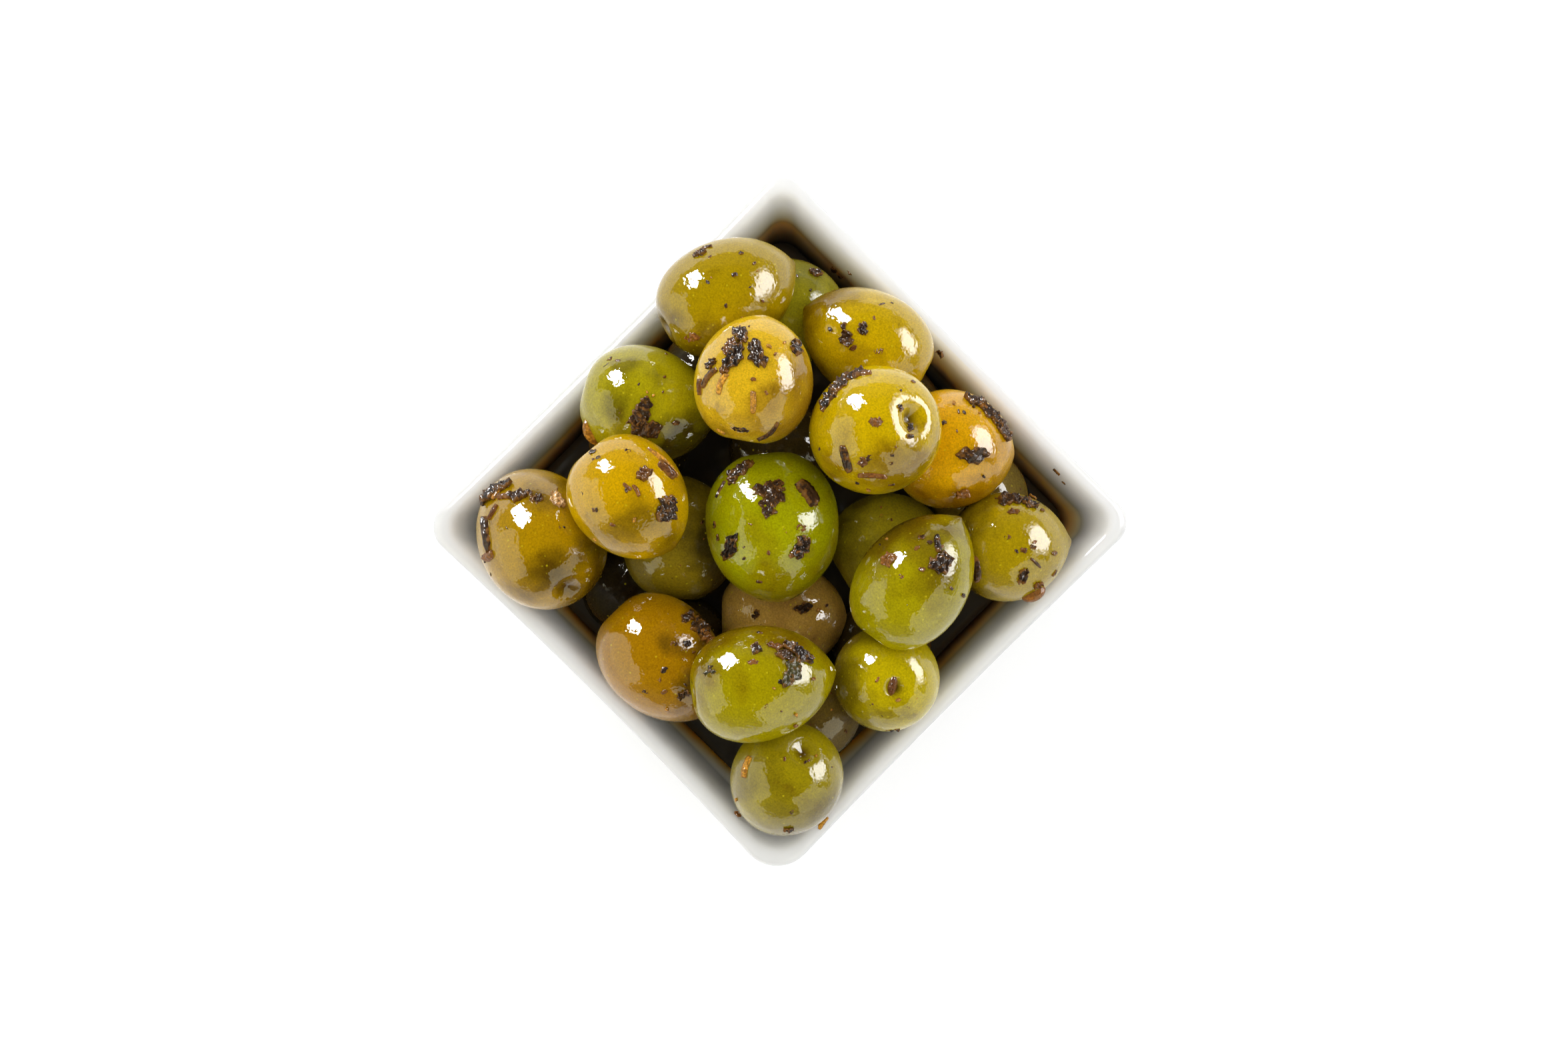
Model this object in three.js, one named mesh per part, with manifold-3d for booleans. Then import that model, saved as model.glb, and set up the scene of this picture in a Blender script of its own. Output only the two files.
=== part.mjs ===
// A square porcelain dish heaped with whole green olives in oil and dried herbs.
// Millimetres, +Z up. The origin is at the middle of the dish's foot, +X and +Y run square to its sides.
// The olives are placed as the dish is served, standing on its corner: "across" runs from the corner
// at -X,-Y to the one at +X,+Y, and "away" from the corner at +X,-Y to the one at -X,+Y.
import * as THREE from "three";
import { mergeVertices } from "three/addons/utils/BufferGeometryUtils.js";
import Module from "manifold-3d";

const wasm = await Module();
wasm.setup();

const radians = THREE.MathUtils.degToRad;

// ---------------------------------------------------------------- the dish
const RIM_X = 80; // over the rim, side to side
const RIM_Y = 81.2;
const HEIGHT = 45;
const WALL = 3.2; // and the width of the rounded rim
const TAPER = Math.tan(radians(7.5)); // the walls lean out
const LIP = WALL / 2; // radius of the rounded rim
const LIP_Z = HEIGHT - LIP;
const LIP_ANGLES = [30, 60, 90, 120, 150]; // degrees round it, from outside to inside
const FLOOR_Z = 5; // upper face of the dish's floor
const TURN_Z = 10; // where the wall starts to turn in to the foot
const TURN_STEPS = 4;
const FOOT_INSET = 11; // from the rim's edge to the foot's outer edge
const FOOT_WIDTH = 3.6; // of the ring it stands on
const FOOT_BEVEL = 0.4; // on the ring's lower edges
const FOOT_Z = 1.5; // height of the foot ring's side
const RECESS_Z = 1.3; // the floor inside the foot ring is sunk by this
const INNER_TURN_Z = 13; // where the inside turns into the floor
const INNER_TURN = 7.2; // how far in the inside turn ends
const OUTER_LEVELS = [TURN_Z, 20, 32, LIP_Z]; // heights of the outlines up the outside
const INNER_LEVELS = [LIP_Z, 34, 24, INNER_TURN_Z]; // and down the inside
// Plan radius of each corner, and how far each side of the rim bows in, both from the corner at +X,+Y
// round by way of -X,+Y.
const CORNER_RADII = [4.0, 3.2, 4.2, 6.1];
const SIDE_BOWS = [0.2, 0.4, 0.7, 0.4];
const ARC_STEPS = 5;
const SIDE_STEPS = 4;
// How round the corners are in plan, times the radii above: on the foot, on the inner floor, and on the
// inside at the rim, with what both walls gain from the rim down.
const FOOT_ROUND = 1.6;
const FLOOR_ROUND = 1.3;
const INNER_ROUND = 0.7;
const OUTER_GAIN = 0.6;
const INNER_GAIN = 0.5;

const outerInset = (z) => (LIP_Z - z) * TAPER;
const innerInset = (z) => WALL + (LIP_Z - z) * TAPER;
const outerRound = (z) => 1 + OUTER_GAIN * (1 - z / HEIGHT);
const innerRound = (z) => INNER_ROUND + INNER_GAIN * (1 - z / HEIGHT);
// The corner that a point is nearest to, and the sides that face +X or -X and +Y or -Y.
const cornerAt = (p) => (p.y > 0 ? (p.x > 0 ? 0 : 1) : p.x > 0 ? 3 : 2);
const sideFacingX = (p) => (p.x > 0 ? 3 : 1);
const sideFacingY = (p) => (p.y > 0 ? 0 : 2);

// One closed outline of the dish, `inset` inside the rim's outer edge, with its corners `round` times
// as round as the rim's.
function outline(inset, z, round) {
  const half = new THREE.Vector2(RIM_X / 2 - inset, RIM_Y / 2 - inset);
  const arcs = CORNER_RADII.map((radius, corner) => {
    const r = radius * round;
    const start = (corner * Math.PI) / 2;
    const signX = corner === 0 || corner === 3 ? 1 : -1;
    const signY = corner < 2 ? 1 : -1;
    const centre = new THREE.Vector2(signX * (half.x - r), signY * (half.y - r));
    return Array.from({ length: ARC_STEPS + 1 }, (_, i) => {
      const angle = start + (i / ARC_STEPS) * (Math.PI / 2);
      return new THREE.Vector3(centre.x + r * Math.cos(angle), centre.y + r * Math.sin(angle), z);
    });
  });
  return arcs.flatMap((arc, corner) => {
    const from = arc[ARC_STEPS];
    const to = arcs[(corner + 1) % 4][0];
    const inward = new THREE.Vector3(from.y - to.y, to.x - from.x, 0).normalize();
    const side = [];
    for (let i = 1; i < SIDE_STEPS; i++) {
      const t = i / SIDE_STEPS;
      const bow = SIDE_BOWS[corner] * 4 * t * (1 - t) * (z / HEIGHT);
      side.push(from.clone().lerp(to, t).addScaledVector(inward, bow));
    }
    return [...arc, ...side];
  });
}

// A closed solid through a list of outlines, from the middle of the first to the middle of the last.
function loft(outlines) {
  const count = outlines[0].length;
  const middle = (ring) => ring.reduce((sum, p) => sum.add(p), new THREE.Vector3()).divideScalar(count);
  const points = [middle(outlines[0]), ...outlines.flat(), middle(outlines.at(-1))];
  const last = points.length - 1;
  const at = (ring, i) => 1 + ring * count + (i % count);
  const faces = [];
  for (let i = 0; i < count; i++) {
    faces.push(0, at(0, i + 1), at(0, i));
    for (let ring = 1; ring < outlines.length; ring++) {
      faces.push(at(ring - 1, i), at(ring - 1, i + 1), at(ring, i + 1));
      faces.push(at(ring - 1, i), at(ring, i + 1), at(ring, i));
    }
    faces.push(at(outlines.length - 1, i), at(outlines.length - 1, i + 1), last);
  }
  const geometry = new THREE.BufferGeometry().setFromPoints(points);
  geometry.setIndex(faces);
  return geometry;
}

// The outlines of a quarter turn, from a wall at (inset, z) to a flat `reach` further in and `drop` lower.
function turnIn(inset, z, reach, drop, round) {
  return Array.from({ length: TURN_STEPS }, (_, i) => {
    const angle = ((i + 1) / TURN_STEPS) * (Math.PI / 2);
    return outline(inset + reach * (1 - Math.cos(angle)), z - drop * Math.sin(angle), round);
  });
}

function dishGeometry() {
  const footInner = FOOT_INSET + FOOT_WIDTH;
  const footRing = [
    outline(footInner + 2 * FOOT_BEVEL, RECESS_Z, FOOT_ROUND),
    outline(footInner + FOOT_BEVEL, FOOT_BEVEL, FOOT_ROUND),
    outline(footInner, 0, FOOT_ROUND),
    outline(FOOT_INSET + 2 * FOOT_BEVEL, 0, FOOT_ROUND),
    outline(FOOT_INSET + FOOT_BEVEL, FOOT_BEVEL, FOOT_ROUND),
  ];
  const turnReach = FOOT_INSET - outerInset(TURN_Z);
  const outerTurn = turnIn(outerInset(TURN_Z), TURN_Z, turnReach, TURN_Z - FOOT_Z, FOOT_ROUND).reverse();
  const outerWall = OUTER_LEVELS.map((z) => outline(outerInset(z), z, outerRound(z)));
  const lip = LIP_ANGLES.map((degrees) => {
    const angle = radians(degrees);
    const round = THREE.MathUtils.lerp(1, INNER_ROUND, degrees / LIP_ANGLES.at(-1));
    return outline(LIP * (1 - Math.cos(angle)), LIP_Z + LIP * Math.sin(angle), round);
  });
  const innerWall = INNER_LEVELS.map((z) => outline(innerInset(z), z, innerRound(z)));
  const depth = INNER_TURN_Z - FLOOR_Z;
  const innerTurn = turnIn(innerInset(INNER_TURN_Z), INNER_TURN_Z, INNER_TURN, depth, FLOOR_ROUND);
  return loft([...footRing, ...outerTurn, ...outerWall, ...lip, ...innerWall, ...innerTurn]);
}

// ---------------------------------------------------------------- the olives
// Each row is [across, away, length, width, heading, lift]: the place of the olive's middle in plan, its
// size, the way its tip points, anticlockwise from across, and how far that tip is lifted, in degrees.
// They are listed from the bottom of the heap up, and each drops until it touches what is below it.
const OLIVES = {
  lowLeft: [-16.0, -2.7, 20.3, 18.4, 85, 0],
  lowFront: [0.2, -14.8, 20.4, 17.7, 0, 0],
  lowRight: [17.2, -3.7, 18.7, 18.0, 30, 0],
  backLeft: [-8.5, 35.9, 22.9, 18.1, 27, -10],
  backRight: [14.0, 28.6, 21.7, 17.1, 151, 0],
  left: [-21.2, 18.9, 21.7, 18.5, -17, 0],
  leftCorner: [-38.0, -2.0, 24.5, 20.1, 120, -35],
  frontLeft: [-18.6, -21.2, 22.8, 18.2, -45, 0],
  frontCorner: [0.9, -40.4, 21.0, 17.6, -120, -54],
  front: [16.8, -24.2, 20.0, 16.8, 132, -78],
  rightCorner: [36.2, -3.5, 18.5, 17.5, 5, 0],
  right: [27.2, 11.9, 19.6, 19.0, -5, 0],
  centre: [-1.2, 0.0, 24.2, 21.3, -84, 0],
  topRight: [14.7, 14.6, 22.0, 20.1, 197, -50],
  topBack: [-4.0, 22.2, 20.2, 18.7, 80, 0],
  topLeft: [-23.4, 4.3, 20.7, 17.8, -50, 0],
  topFrontRight: [20.9, -8.9, 23.0, 17.4, 54, 0],
  topFront: [-3.1, -24.7, 22.7, 18.2, 9, -8],
};
// Olives that lie under those, hidden or nearly so: each is lifted until it carries what is above it.
const CARRIERS = {
  lowCorner: [4.6, -30.2, 17.5, 16.3, 20, 0],
  lowBack: [2.2, 34.2, 17.8, 16.7, -20, 0],
  lowWall: [32.4, 4.0, 16.7, 15.7, -60, 0],
  underFront: [-15.6, -19.8, 17.0, 16.0, -45, 0],
  underLeftCorner: [-35.0, -0.5, 17.0, 16.0, 45, 0],
  underFrontLeft: [-24.7, -10.7, 15.5, 15.0, -45, 0],
  underLeft: [-22.5, 13.0, 17.0, 16.0, 45, 0],
  underBackLeft: [-10.8, 24.5, 17.0, 16.0, 45, 0],
  underBack: [0.5, 12.0, 19.0, 17.0, 10, 0],
  underBackRight: [18.2, 18.2, 17.0, 16.0, -45, 0],
  underRight: [16.5, -19.0, 17.0, 16.0, 45, 0],
};
const GAP = 0.35; // between the heap and the dish
const PRESS = 0.45; // how far two olives press into each other
const CARRIER_PRESS = 1.2; // and how far a carrier does
const CORE_TOP = 31; // height of the packed olives under the ones that show, at the middle
const CORE_FALL = 5 / 37 ** 2; // they lie lower towards the walls
const CORE_PRESS = 1.5; // how far an olive sinks among them
const CORE_RINGS = [13, 21, 30]; // insets of the outlines over their top
const CORE_EDGE_Z = 20; // the wall is this high at the top's edge
const CORE_SIDE_Z = 17; // height of the outline below it
const START_HIGH = 90; // where an olive starts that drops
const START_LOW = 27; // and one that is lifted
const FIRST_STEP = 2; // of the moves that settle an olive
const LAST_STEP = 0.02;
const DIRECTION_COUNT = 400; // points on an olive that are tried for a touch
const TOUCHING = 26; // olives with their middles further apart than this can't touch

// The place in the dish's own axes of a point given across and away.
const inDish = (across, away, z) =>
  new THREE.Vector3((across - away) * Math.SQRT1_2, (across + away) * Math.SQRT1_2, z);
const coreTop = (x, y) => CORE_TOP - CORE_FALL * (x * x + y * y);

// An even spread of directions over a sphere.
const DIRECTIONS = Array.from({ length: DIRECTION_COUNT }, (_, i) => {
  const polar = Math.acos(1 - (2 * (i + 0.5)) / DIRECTION_COUNT);
  const round = Math.PI * (1 + Math.sqrt(5)) * (i + 0.5);
  return new THREE.Vector3().setFromSphericalCoords(1, polar, round);
});

// Distance from a point to a rounded rectangle, less than 0 inside it.
function toRectangle(p, halfX, halfY, radius) {
  const x = Math.abs(p.x) - (halfX - radius);
  const y = Math.abs(p.y) - (halfY - radius);
  return Math.hypot(Math.max(x, 0), Math.max(y, 0)) + Math.min(Math.max(x, y), 0) - radius;
}

// Distance from a point to the dish's rim, or lower down to its inner wall.
function toDish(p) {
  const corner = CORNER_RADII[cornerAt(p)];
  const halfX = RIM_X / 2 - SIDE_BOWS[sideFacingX(p)] * (1 - (p.y / (RIM_Y / 2)) ** 2);
  const halfY = RIM_Y / 2 - SIDE_BOWS[sideFacingY(p)] * (1 - (p.x / (RIM_X / 2)) ** 2);
  if (p.z > LIP_Z) {
    const flat = toRectangle(p, halfX - LIP, halfY - LIP, corner - LIP);
    return Math.hypot(flat, p.z - LIP_Z) - LIP;
  }
  const inset = innerInset(p.z);
  return -toRectangle(p, halfX - inset, halfY - inset, corner * innerRound(p.z));
}

// An olive as an ellipsoid: its middle, half sizes and turn, with its tip along its own +Y.
function ellipsoid([across, away, length, width, heading, lift], z) {
  const turn = new THREE.Quaternion().setFromEuler(
    new THREE.Euler(0, radians(-lift), radians(heading + 45), "ZYX"),
  );
  turn.multiply(new THREE.Quaternion().setFromAxisAngle(new THREE.Vector3(0, 0, 1), -Math.PI / 2));
  const half = new THREE.Vector3(width / 2, length / 2, width / 2);
  return { centre: inDish(across, away, z), half, turn, back: turn.clone().invert() };
}

const skin = (olive) =>
  DIRECTIONS.map((d) => d.clone().multiply(olive.half).applyQuaternion(olive.turn).add(olive.centre));
// 1 on the ellipsoid, less inside.
const depthIn = (olive, p) =>
  p.clone().sub(olive.centre).applyQuaternion(olive.back).divide(olive.half).length();

// Whether an olive would sit in the dish or too far in another olive.
function blocked(olive, placed, press) {
  const points = skin(olive);
  const pressed = 1 - press / olive.half.x;
  const tooFarIn = (other) =>
    points.some((p) => depthIn(other, p) < pressed) || skin(other).some((p) => depthIn(olive, p) < pressed);
  const near = placed.filter((other) => other.centre.distanceTo(olive.centre) < TOUCHING);
  return points.some((p) => toDish(p) < GAP) || near.some(tooFarIn);
}

const inCore = (olive) => skin(olive).some((p) => p.z < coreTop(p.x, p.y) - CORE_PRESS);

// Moves an olive up or down in ever finer steps until it is stopped.
function settle(olive, direction, stopped) {
  for (let step = FIRST_STEP; step > LAST_STEP; step /= 4) {
    while (!stopped(olive)) olive.centre.z += direction * step;
    olive.centre.z -= direction * step;
  }
}

const heap = {};
const placed = [];
for (const [name, row] of Object.entries(OLIVES)) {
  heap[name] = ellipsoid(row, START_HIGH);
  settle(heap[name], -1, (olive) => inCore(olive) || blocked(olive, placed, PRESS));
  placed.push(heap[name]);
}
for (const [name, row] of Object.entries(CARRIERS)) {
  heap[name] = ellipsoid(row, START_LOW);
  settle(heap[name], 1, (olive) => blocked(olive, placed, CARRIER_PRESS));
  placed.push(heap[name]);
}

// The outline of an olive from its stem end to its tip: fuller at the stem, with a dimple where the
// stem was and a small point at the tip.
const FULLNESS = 0.05;
const DIMPLE = 1.3; // depth, and its reach in degrees from the stem end
const DIMPLE_REACH = 13;
const POINT = 0.7; // height, and its reach in degrees from the tip
const POINT_REACH = 14;
// `fuller` makes up for the flats of a turned shape with few sides.
const SHOWN = { sides: 15, fuller: 1.012, angles: [0, 8, 17, 30, 50, 72, 95, 117, 138, 157, 170, 180] };
const HIDDEN = { sides: 10, fuller: 1.04, angles: [0, 25, 50, 75, 100, 125, 155, 180] };
function oliveGeometry(olive, { sides, fuller, angles }) {
  const profile = angles.map((degrees) => {
    const angle = radians(degrees);
    const dimple = DIMPLE * Math.exp(-((degrees / DIMPLE_REACH) ** 2));
    const point = POINT * Math.exp(-(((180 - degrees) / POINT_REACH) ** 2));
    const radius = fuller * olive.half.x * Math.sin(angle) * (1 + FULLNESS * Math.cos(angle));
    return new THREE.Vector2(Math.abs(radius), -olive.half.y * Math.cos(angle) + dimple + point);
  });
  profile[0].x = 0;
  profile[profile.length - 1].x = 0;
  const geometry = new THREE.LatheGeometry(profile, sides);
  geometry.applyQuaternion(olive.turn);
  return geometry.translate(...olive.centre.toArray());
}

// The packed olives under the heap, as one mound that keeps clear of the dish.
function coreGeometry() {
  const depth = INNER_TURN_Z - FLOOR_Z;
  const turn = turnIn(innerInset(INNER_TURN_Z) + GAP, INNER_TURN_Z + GAP, INNER_TURN, depth, FLOOR_ROUND);
  const side = outline(innerInset(CORE_SIDE_Z) + GAP, CORE_SIDE_Z, innerRound(CORE_SIDE_Z));
  const mound = [innerInset(CORE_EDGE_Z) + GAP, ...CORE_RINGS].map((inset) => {
    const ring = outline(inset, 0, 1);
    return ring.map((p) => p.setZ(coreTop(p.x, p.y)));
  });
  return loft([...turn.reverse(), side, ...mound]);
}

// ---------------------------------------------------------------- the herbs
// The larger flakes of dried herb, stuck to the olives: across and away from that olive's middle, length,
// width, and the way the flake lies, anticlockwise from across. Set by hand, to half a millimetre in place.
// The one in a dimple also gives how far it is sunk.
const HERBS = {
  lowBack: [[3.5, 6, 2, 1.5, 20]],
  lowFront: [[3.5, 1.5, 3, 1.5, 10]],
  backLeft: [
    [-4, 6.5, 2, 1.5, 20],
    [-5, -6.5, 2.5, 1.5, 20],
  ],
  backRight: [
    [-3.5, 0.5, 2.5, 2, 100],
    [-1, 2, 2, 1.5, 100],
  ],
  left: [
    [0, -1, 4, 2.5, 80],
    [0.5, -4, 4.5, 3, 10],
    [-8.5, -4.5, 5, 2, 60],
  ],
  leftCorner: [
    [-7.5, 7, 4.5, 2.5, 20],
    [-5.5, 8, 3, 1.5, 30],
    [-3, 6.5, 3, 2, -10],
    [-8, 0.5, 6, 1.5, -60],
    [-7.5, -3, 3, 1.5, 20],
    [0, 6, 2, 1.5, 0],
    [3, 6, 3, 2, 100],
  ],
  frontLeft: [
    [6, 5, 4, 3, 30],
    [4, 6.5, 3, 1.5, 50],
  ],
  frontCorner: [[-6, 2.5, 3.5, 1.5, 70]],
  front: [[1, -1, 3.5, 1.5, 80, 1.1]],
  rightCorner: [
    [0, 7.5, 3.5, 3, 20],
    [3, 7, 3, 2, -40],
    [2, -4.5, 2.5, 1.5, 80],
    [-5, -3.5, 4.5, 1.5, 80],
  ],
  right: [
    [3.5, 7.5, 3.5, 2, -30],
    [6, 5.5, 4, 2, -40],
    [8, 3, 3.5, 2, -60],
    [3, -1, 5, 2.5, 0],
    [1.5, -7, 2, 1.5, 10],
  ],
  centre: [
    [-5, 8.5, 4.5, 2.5, 30],
    [-0.5, 5.5, 4.5, 2.5, 10],
    [-0.5, 3, 4, 2.5, 80],
    [5.5, 5, 4.5, 2.5, -50],
    [-6.5, -3.5, 5, 2, 50],
    [4.5, -3.5, 3.5, 2.5, 60],
  ],
  topRight: [
    [-7, 5, 4.5, 2.5, 60],
    [-4, 8, 5, 2.5, 30],
    [0, 1, 2, 1.5, 0],
    [-4.5, -4.5, 4.5, 1.5, 90],
    [-0.5, -7, 4.5, 1, 0],
  ],
  topBack: [
    [-3, 3.5, 4.5, 2.5, 60],
    [-2, 7, 3.5, 2, 120],
    [0.5, 4, 4.5, 2.5, 110],
    [-7, 0.5, 4, 1, 30],
    [-5, -0.5, 3.5, 1, 60],
    [6.5, 5, 2.5, 2, 80],
    [0, -3.5, 3.5, 1, 90],
    [-2, -7.5, 2.5, 1, 0],
    [2.5, -8, 4.5, 1, 70],
  ],
  topLeft: [
    [2.5, 3.5, 2.5, 2, 30],
    [6, -2, 4, 3.5, 50],
    [5.5, 5.5, 6.5, 1, -30],
  ],
  topFrontRight: [
    [3.5, 6, 3, 1, 90],
    [-4, 3.5, 2.5, 2, 20],
    [4, 3, 4, 3, 20],
  ],
  topFront: [
    [-0.5, 5.5, 2, 1.5, 80],
    [2.5, 6, 2.5, 1, 0],
    [6, 5, 5, 2, -20],
    [5, 2, 5, 2.5, 60],
    [-7.5, 2, 2, 1.5, 0],
  ],
};
const FLAKE_THICK = 1.0;
const FLAKE_SUNK = 0.5; // of it, in the olive's skin

// The highest point of an olive over a place in plan, and the skin's normal there.
function onSkin(olive, across, away) {
  const offset = inDish(across, away, 0);
  const along = new THREE.Vector3(0, 0, 1).applyQuaternion(olive.back).divide(olive.half);
  const start = offset.clone().applyQuaternion(olive.back).divide(olive.half);
  const a = along.lengthSq();
  const b = along.dot(start);
  const root = Math.sqrt(Math.max(b * b - a * (start.lengthSq() - 1), 0));
  const point = offset.setZ((root - b) / a);
  const normal = point.clone().applyQuaternion(olive.back).divide(olive.half).divide(olive.half);
  return [point.add(olive.centre), normal.applyQuaternion(olive.turn).normalize()];
}

// A flake: a leaf-shaped chip with its ends cut at a slant, lying in the skin.
function flakeGeometry(olive, [across, away, length, width, heading, sunk = FLAKE_SUNK]) {
  const [a, b] = [length / 2, width / 2];
  const leaf = new THREE.Shape([
    new THREE.Vector2(-a, -b * 0.3),
    new THREE.Vector2(-a * 0.2, -b),
    new THREE.Vector2(a * 0.7, -b * 0.7),
    new THREE.Vector2(a, b * 0.2),
    new THREE.Vector2(a * 0.1, b),
    new THREE.Vector2(-a * 0.8, b * 0.6),
  ]);
  const geometry = new THREE.ExtrudeGeometry(leaf, { depth: FLAKE_THICK, bevelEnabled: false, steps: 1 });
  const [point, normal] = onSkin(olive, across, away);
  const direction = inDish(Math.cos(radians(heading)), Math.sin(radians(heading)), 0);
  const side = normal.clone().cross(direction).normalize();
  const frame = new THREE.Matrix4().makeBasis(side.clone().cross(normal), side, normal);
  frame.setPosition(point.addScaledVector(normal, -sunk));
  return geometry.applyMatrix4(frame);
}

// ---------------------------------------------------------------- joining
const WELD = 1e-4; // points closer than this are one

function solid(geometry) {
  const bare = geometry.clone();
  bare.deleteAttribute("normal");
  bare.deleteAttribute("uv");
  const merged = mergeVertices(bare, WELD);
  return new wasm.Manifold(
    new wasm.Mesh({
      numProp: 3,
      vertProperties: merged.attributes.position.array,
      triVerts: new Uint32Array(merged.index.array),
    }),
  );
}

// The outer skin of the largest piece: sealed hollows are filled and scraps are left out.
function wholeOf(joined) {
  const pieces = joined.decompose().sort((a, b) => b.volume() - a.volume());
  const mesh = pieces[0].getMesh();
  const geometry = new THREE.BufferGeometry();
  geometry.setAttribute("position", new THREE.BufferAttribute(new Float32Array(mesh.vertProperties), 3));
  geometry.setIndex(Array.from(mesh.triVerts));
  return geometry;
}

function heapGeometry() {
  let joined = solid(coreGeometry());
  for (const name of Object.keys(OLIVES)) joined = joined.add(solid(oliveGeometry(heap[name], SHOWN)));
  for (const name of Object.keys(CARRIERS)) joined = joined.add(solid(oliveGeometry(heap[name], HIDDEN)));
  for (const [name, rows] of Object.entries(HERBS)) {
    for (const row of rows) joined = joined.add(solid(flakeGeometry(heap[name], row)));
  }
  return wholeOf(joined);
}

// ---------------------------------------------------------------- the part
function piece(name, geometry, material) {
  const mesh = new THREE.Mesh(geometry, new THREE.MeshStandardMaterial({ metalness: 0, ...material }));
  mesh.geometry.computeVertexNormals();
  mesh.name = name;
  return mesh;
}

const part = new THREE.Group();
part.add(piece("bowl", dishGeometry(), { color: "#f2f0ec", roughness: 0.12 }));
part.add(piece("olives", heapGeometry(), { color: "#87841a", roughness: 0.2 }));

export default part;
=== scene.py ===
"""A square porcelain dish heaped with whole green olives in oil and dried herbs."""

import math

import bpy
import numpy as np
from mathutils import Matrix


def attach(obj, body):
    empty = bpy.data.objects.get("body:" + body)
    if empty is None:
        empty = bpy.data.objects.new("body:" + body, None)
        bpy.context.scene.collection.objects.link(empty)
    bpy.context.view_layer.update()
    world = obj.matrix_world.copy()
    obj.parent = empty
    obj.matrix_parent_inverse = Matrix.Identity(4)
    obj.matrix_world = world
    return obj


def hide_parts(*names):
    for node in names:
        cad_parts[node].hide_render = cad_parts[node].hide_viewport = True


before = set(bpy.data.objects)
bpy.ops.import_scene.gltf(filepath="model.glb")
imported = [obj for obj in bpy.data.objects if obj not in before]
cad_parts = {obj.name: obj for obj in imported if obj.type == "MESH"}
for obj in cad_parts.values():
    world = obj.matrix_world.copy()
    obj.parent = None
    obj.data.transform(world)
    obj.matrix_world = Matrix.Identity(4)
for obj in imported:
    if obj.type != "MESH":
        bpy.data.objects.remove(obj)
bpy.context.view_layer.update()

# ---------------------------------------------------------------- the dish
# A slip-cast dish of white porcelain on a low foot ring, square with soft corners and a rounded rim.
# It is glazed all over by dipping, but for the ring it stood on in the kiln, which stays bare and dull.
MM = 0.001
RIM_X, RIM_Y, HEIGHT = 80.0, 81.2, 45.0
WALL = 3.2
TAPER = math.tan(math.radians(7.5))  # how far the walls lean out for each millimetre of height
LIP = WALL / 2  # radius of the rim's rounding
LIP_Z = HEIGHT - LIP
FLOOR_Z, TURN_Z = 5.0, 10.0  # top of the floor, and where the outer wall turns in towards the foot
INNER_TURN_Z, INNER_TURN = 13.0, 7.2  # where the inner wall turns into the floor, and over what width
FOOT_INSET, FOOT_WIDTH, FOOT_BEVEL = 11.0, 3.6, 0.4
FOOT_Z, RECESS_Z = 1.5, 1.3  # where the outer turn meets the foot, and the hollow inside its ring
BARE_TO = 0.6 * FOOT_BEVEL  # height up to which the foot ring is bare
CORNER_RADII = (4.0, 3.2, 4.2, 6.1)  # of the rim, from the corner at +X,+Y round by way of -X,+Y
SIDE_BOWS = (0.2, 0.4, 0.7, 0.4)  # how far each side of the rim bows in
FOOT_ROUND, FLOOR_ROUND, INNER_ROUND = 1.6, 1.3, 0.7  # corner radii, as multiples of the rim's
OUTER_GAIN, INNER_GAIN = 0.6, 0.5  # how much rounder the corners get towards the bottom
SOFT_EDGE_Z = 31.0  # height at which the inner wall starts its long rounding into the rim
SHARPENED = math.radians(30)  # the first part of that rounding, over which the corners get sharper
ARC_STEPS, SIDE_STEPS, TURN_STEPS, WALL_STEPS, LIP_STEPS = 10, 14, 10, 12, 12


def outer_inset(z):
    return (LIP_Z - z) * TAPER


def inner_inset(z):
    return WALL + (LIP_Z - z) * TAPER


def outer_round(z):
    return 1 + OUTER_GAIN * (1 - z / HEIGHT)


def inner_round(z):
    return INNER_ROUND + INNER_GAIN * (1 - z / HEIGHT)


def soft_inset(z):
    """The inset of the long rounding that leads from the inner wall to the top of the rim."""
    up = np.clip((z - SOFT_EDGE_Z) / (HEIGHT - SOFT_EDGE_Z), 0, 1)
    return LIP + (inner_inset(SOFT_EDGE_Z) - LIP) * np.sqrt(1 - up * up)


def outline(inset, z, rounding):
    """One closed outline of the dish, in millimetres, as an array of points."""
    half = np.array([RIM_X, RIM_Y]) / 2 - inset
    signs = np.array([(1, 1), (-1, 1), (-1, -1), (1, -1)])
    arcs = []
    for corner, radius in enumerate(CORNER_RADII):
        r = radius * rounding
        turn = (corner + np.arange(ARC_STEPS + 1) / ARC_STEPS) * math.pi / 2
        arcs.append(signs[corner] * (half - r) + r * np.stack([np.cos(turn), np.sin(turn)], 1))
    rim = []
    for corner, arc in enumerate(arcs):
        start, end = arc[-1], arcs[(corner + 1) % 4][0]
        inward = np.array([start[1] - end[1], end[0] - start[0]])
        inward /= np.linalg.norm(inward)
        t = np.arange(1, SIDE_STEPS)[:, None] / SIDE_STEPS
        bow = SIDE_BOWS[corner] * 4 * t * (1 - t) * (z / HEIGHT)
        rim += [arc, start + (end - start) * t + inward * bow]
    flat = np.concatenate(rim)
    return np.column_stack([flat, np.full(len(flat), z)])


def turn_in(inset, z, reach, drop, rounding):
    """The outlines of a quarter turn from a wall to a flat further in and lower."""
    angles = (np.arange(TURN_STEPS) + 1) / TURN_STEPS * math.pi / 2
    return [outline(inset + reach * (1 - math.cos(a)), z - drop * math.sin(a), rounding) for a in angles]


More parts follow.
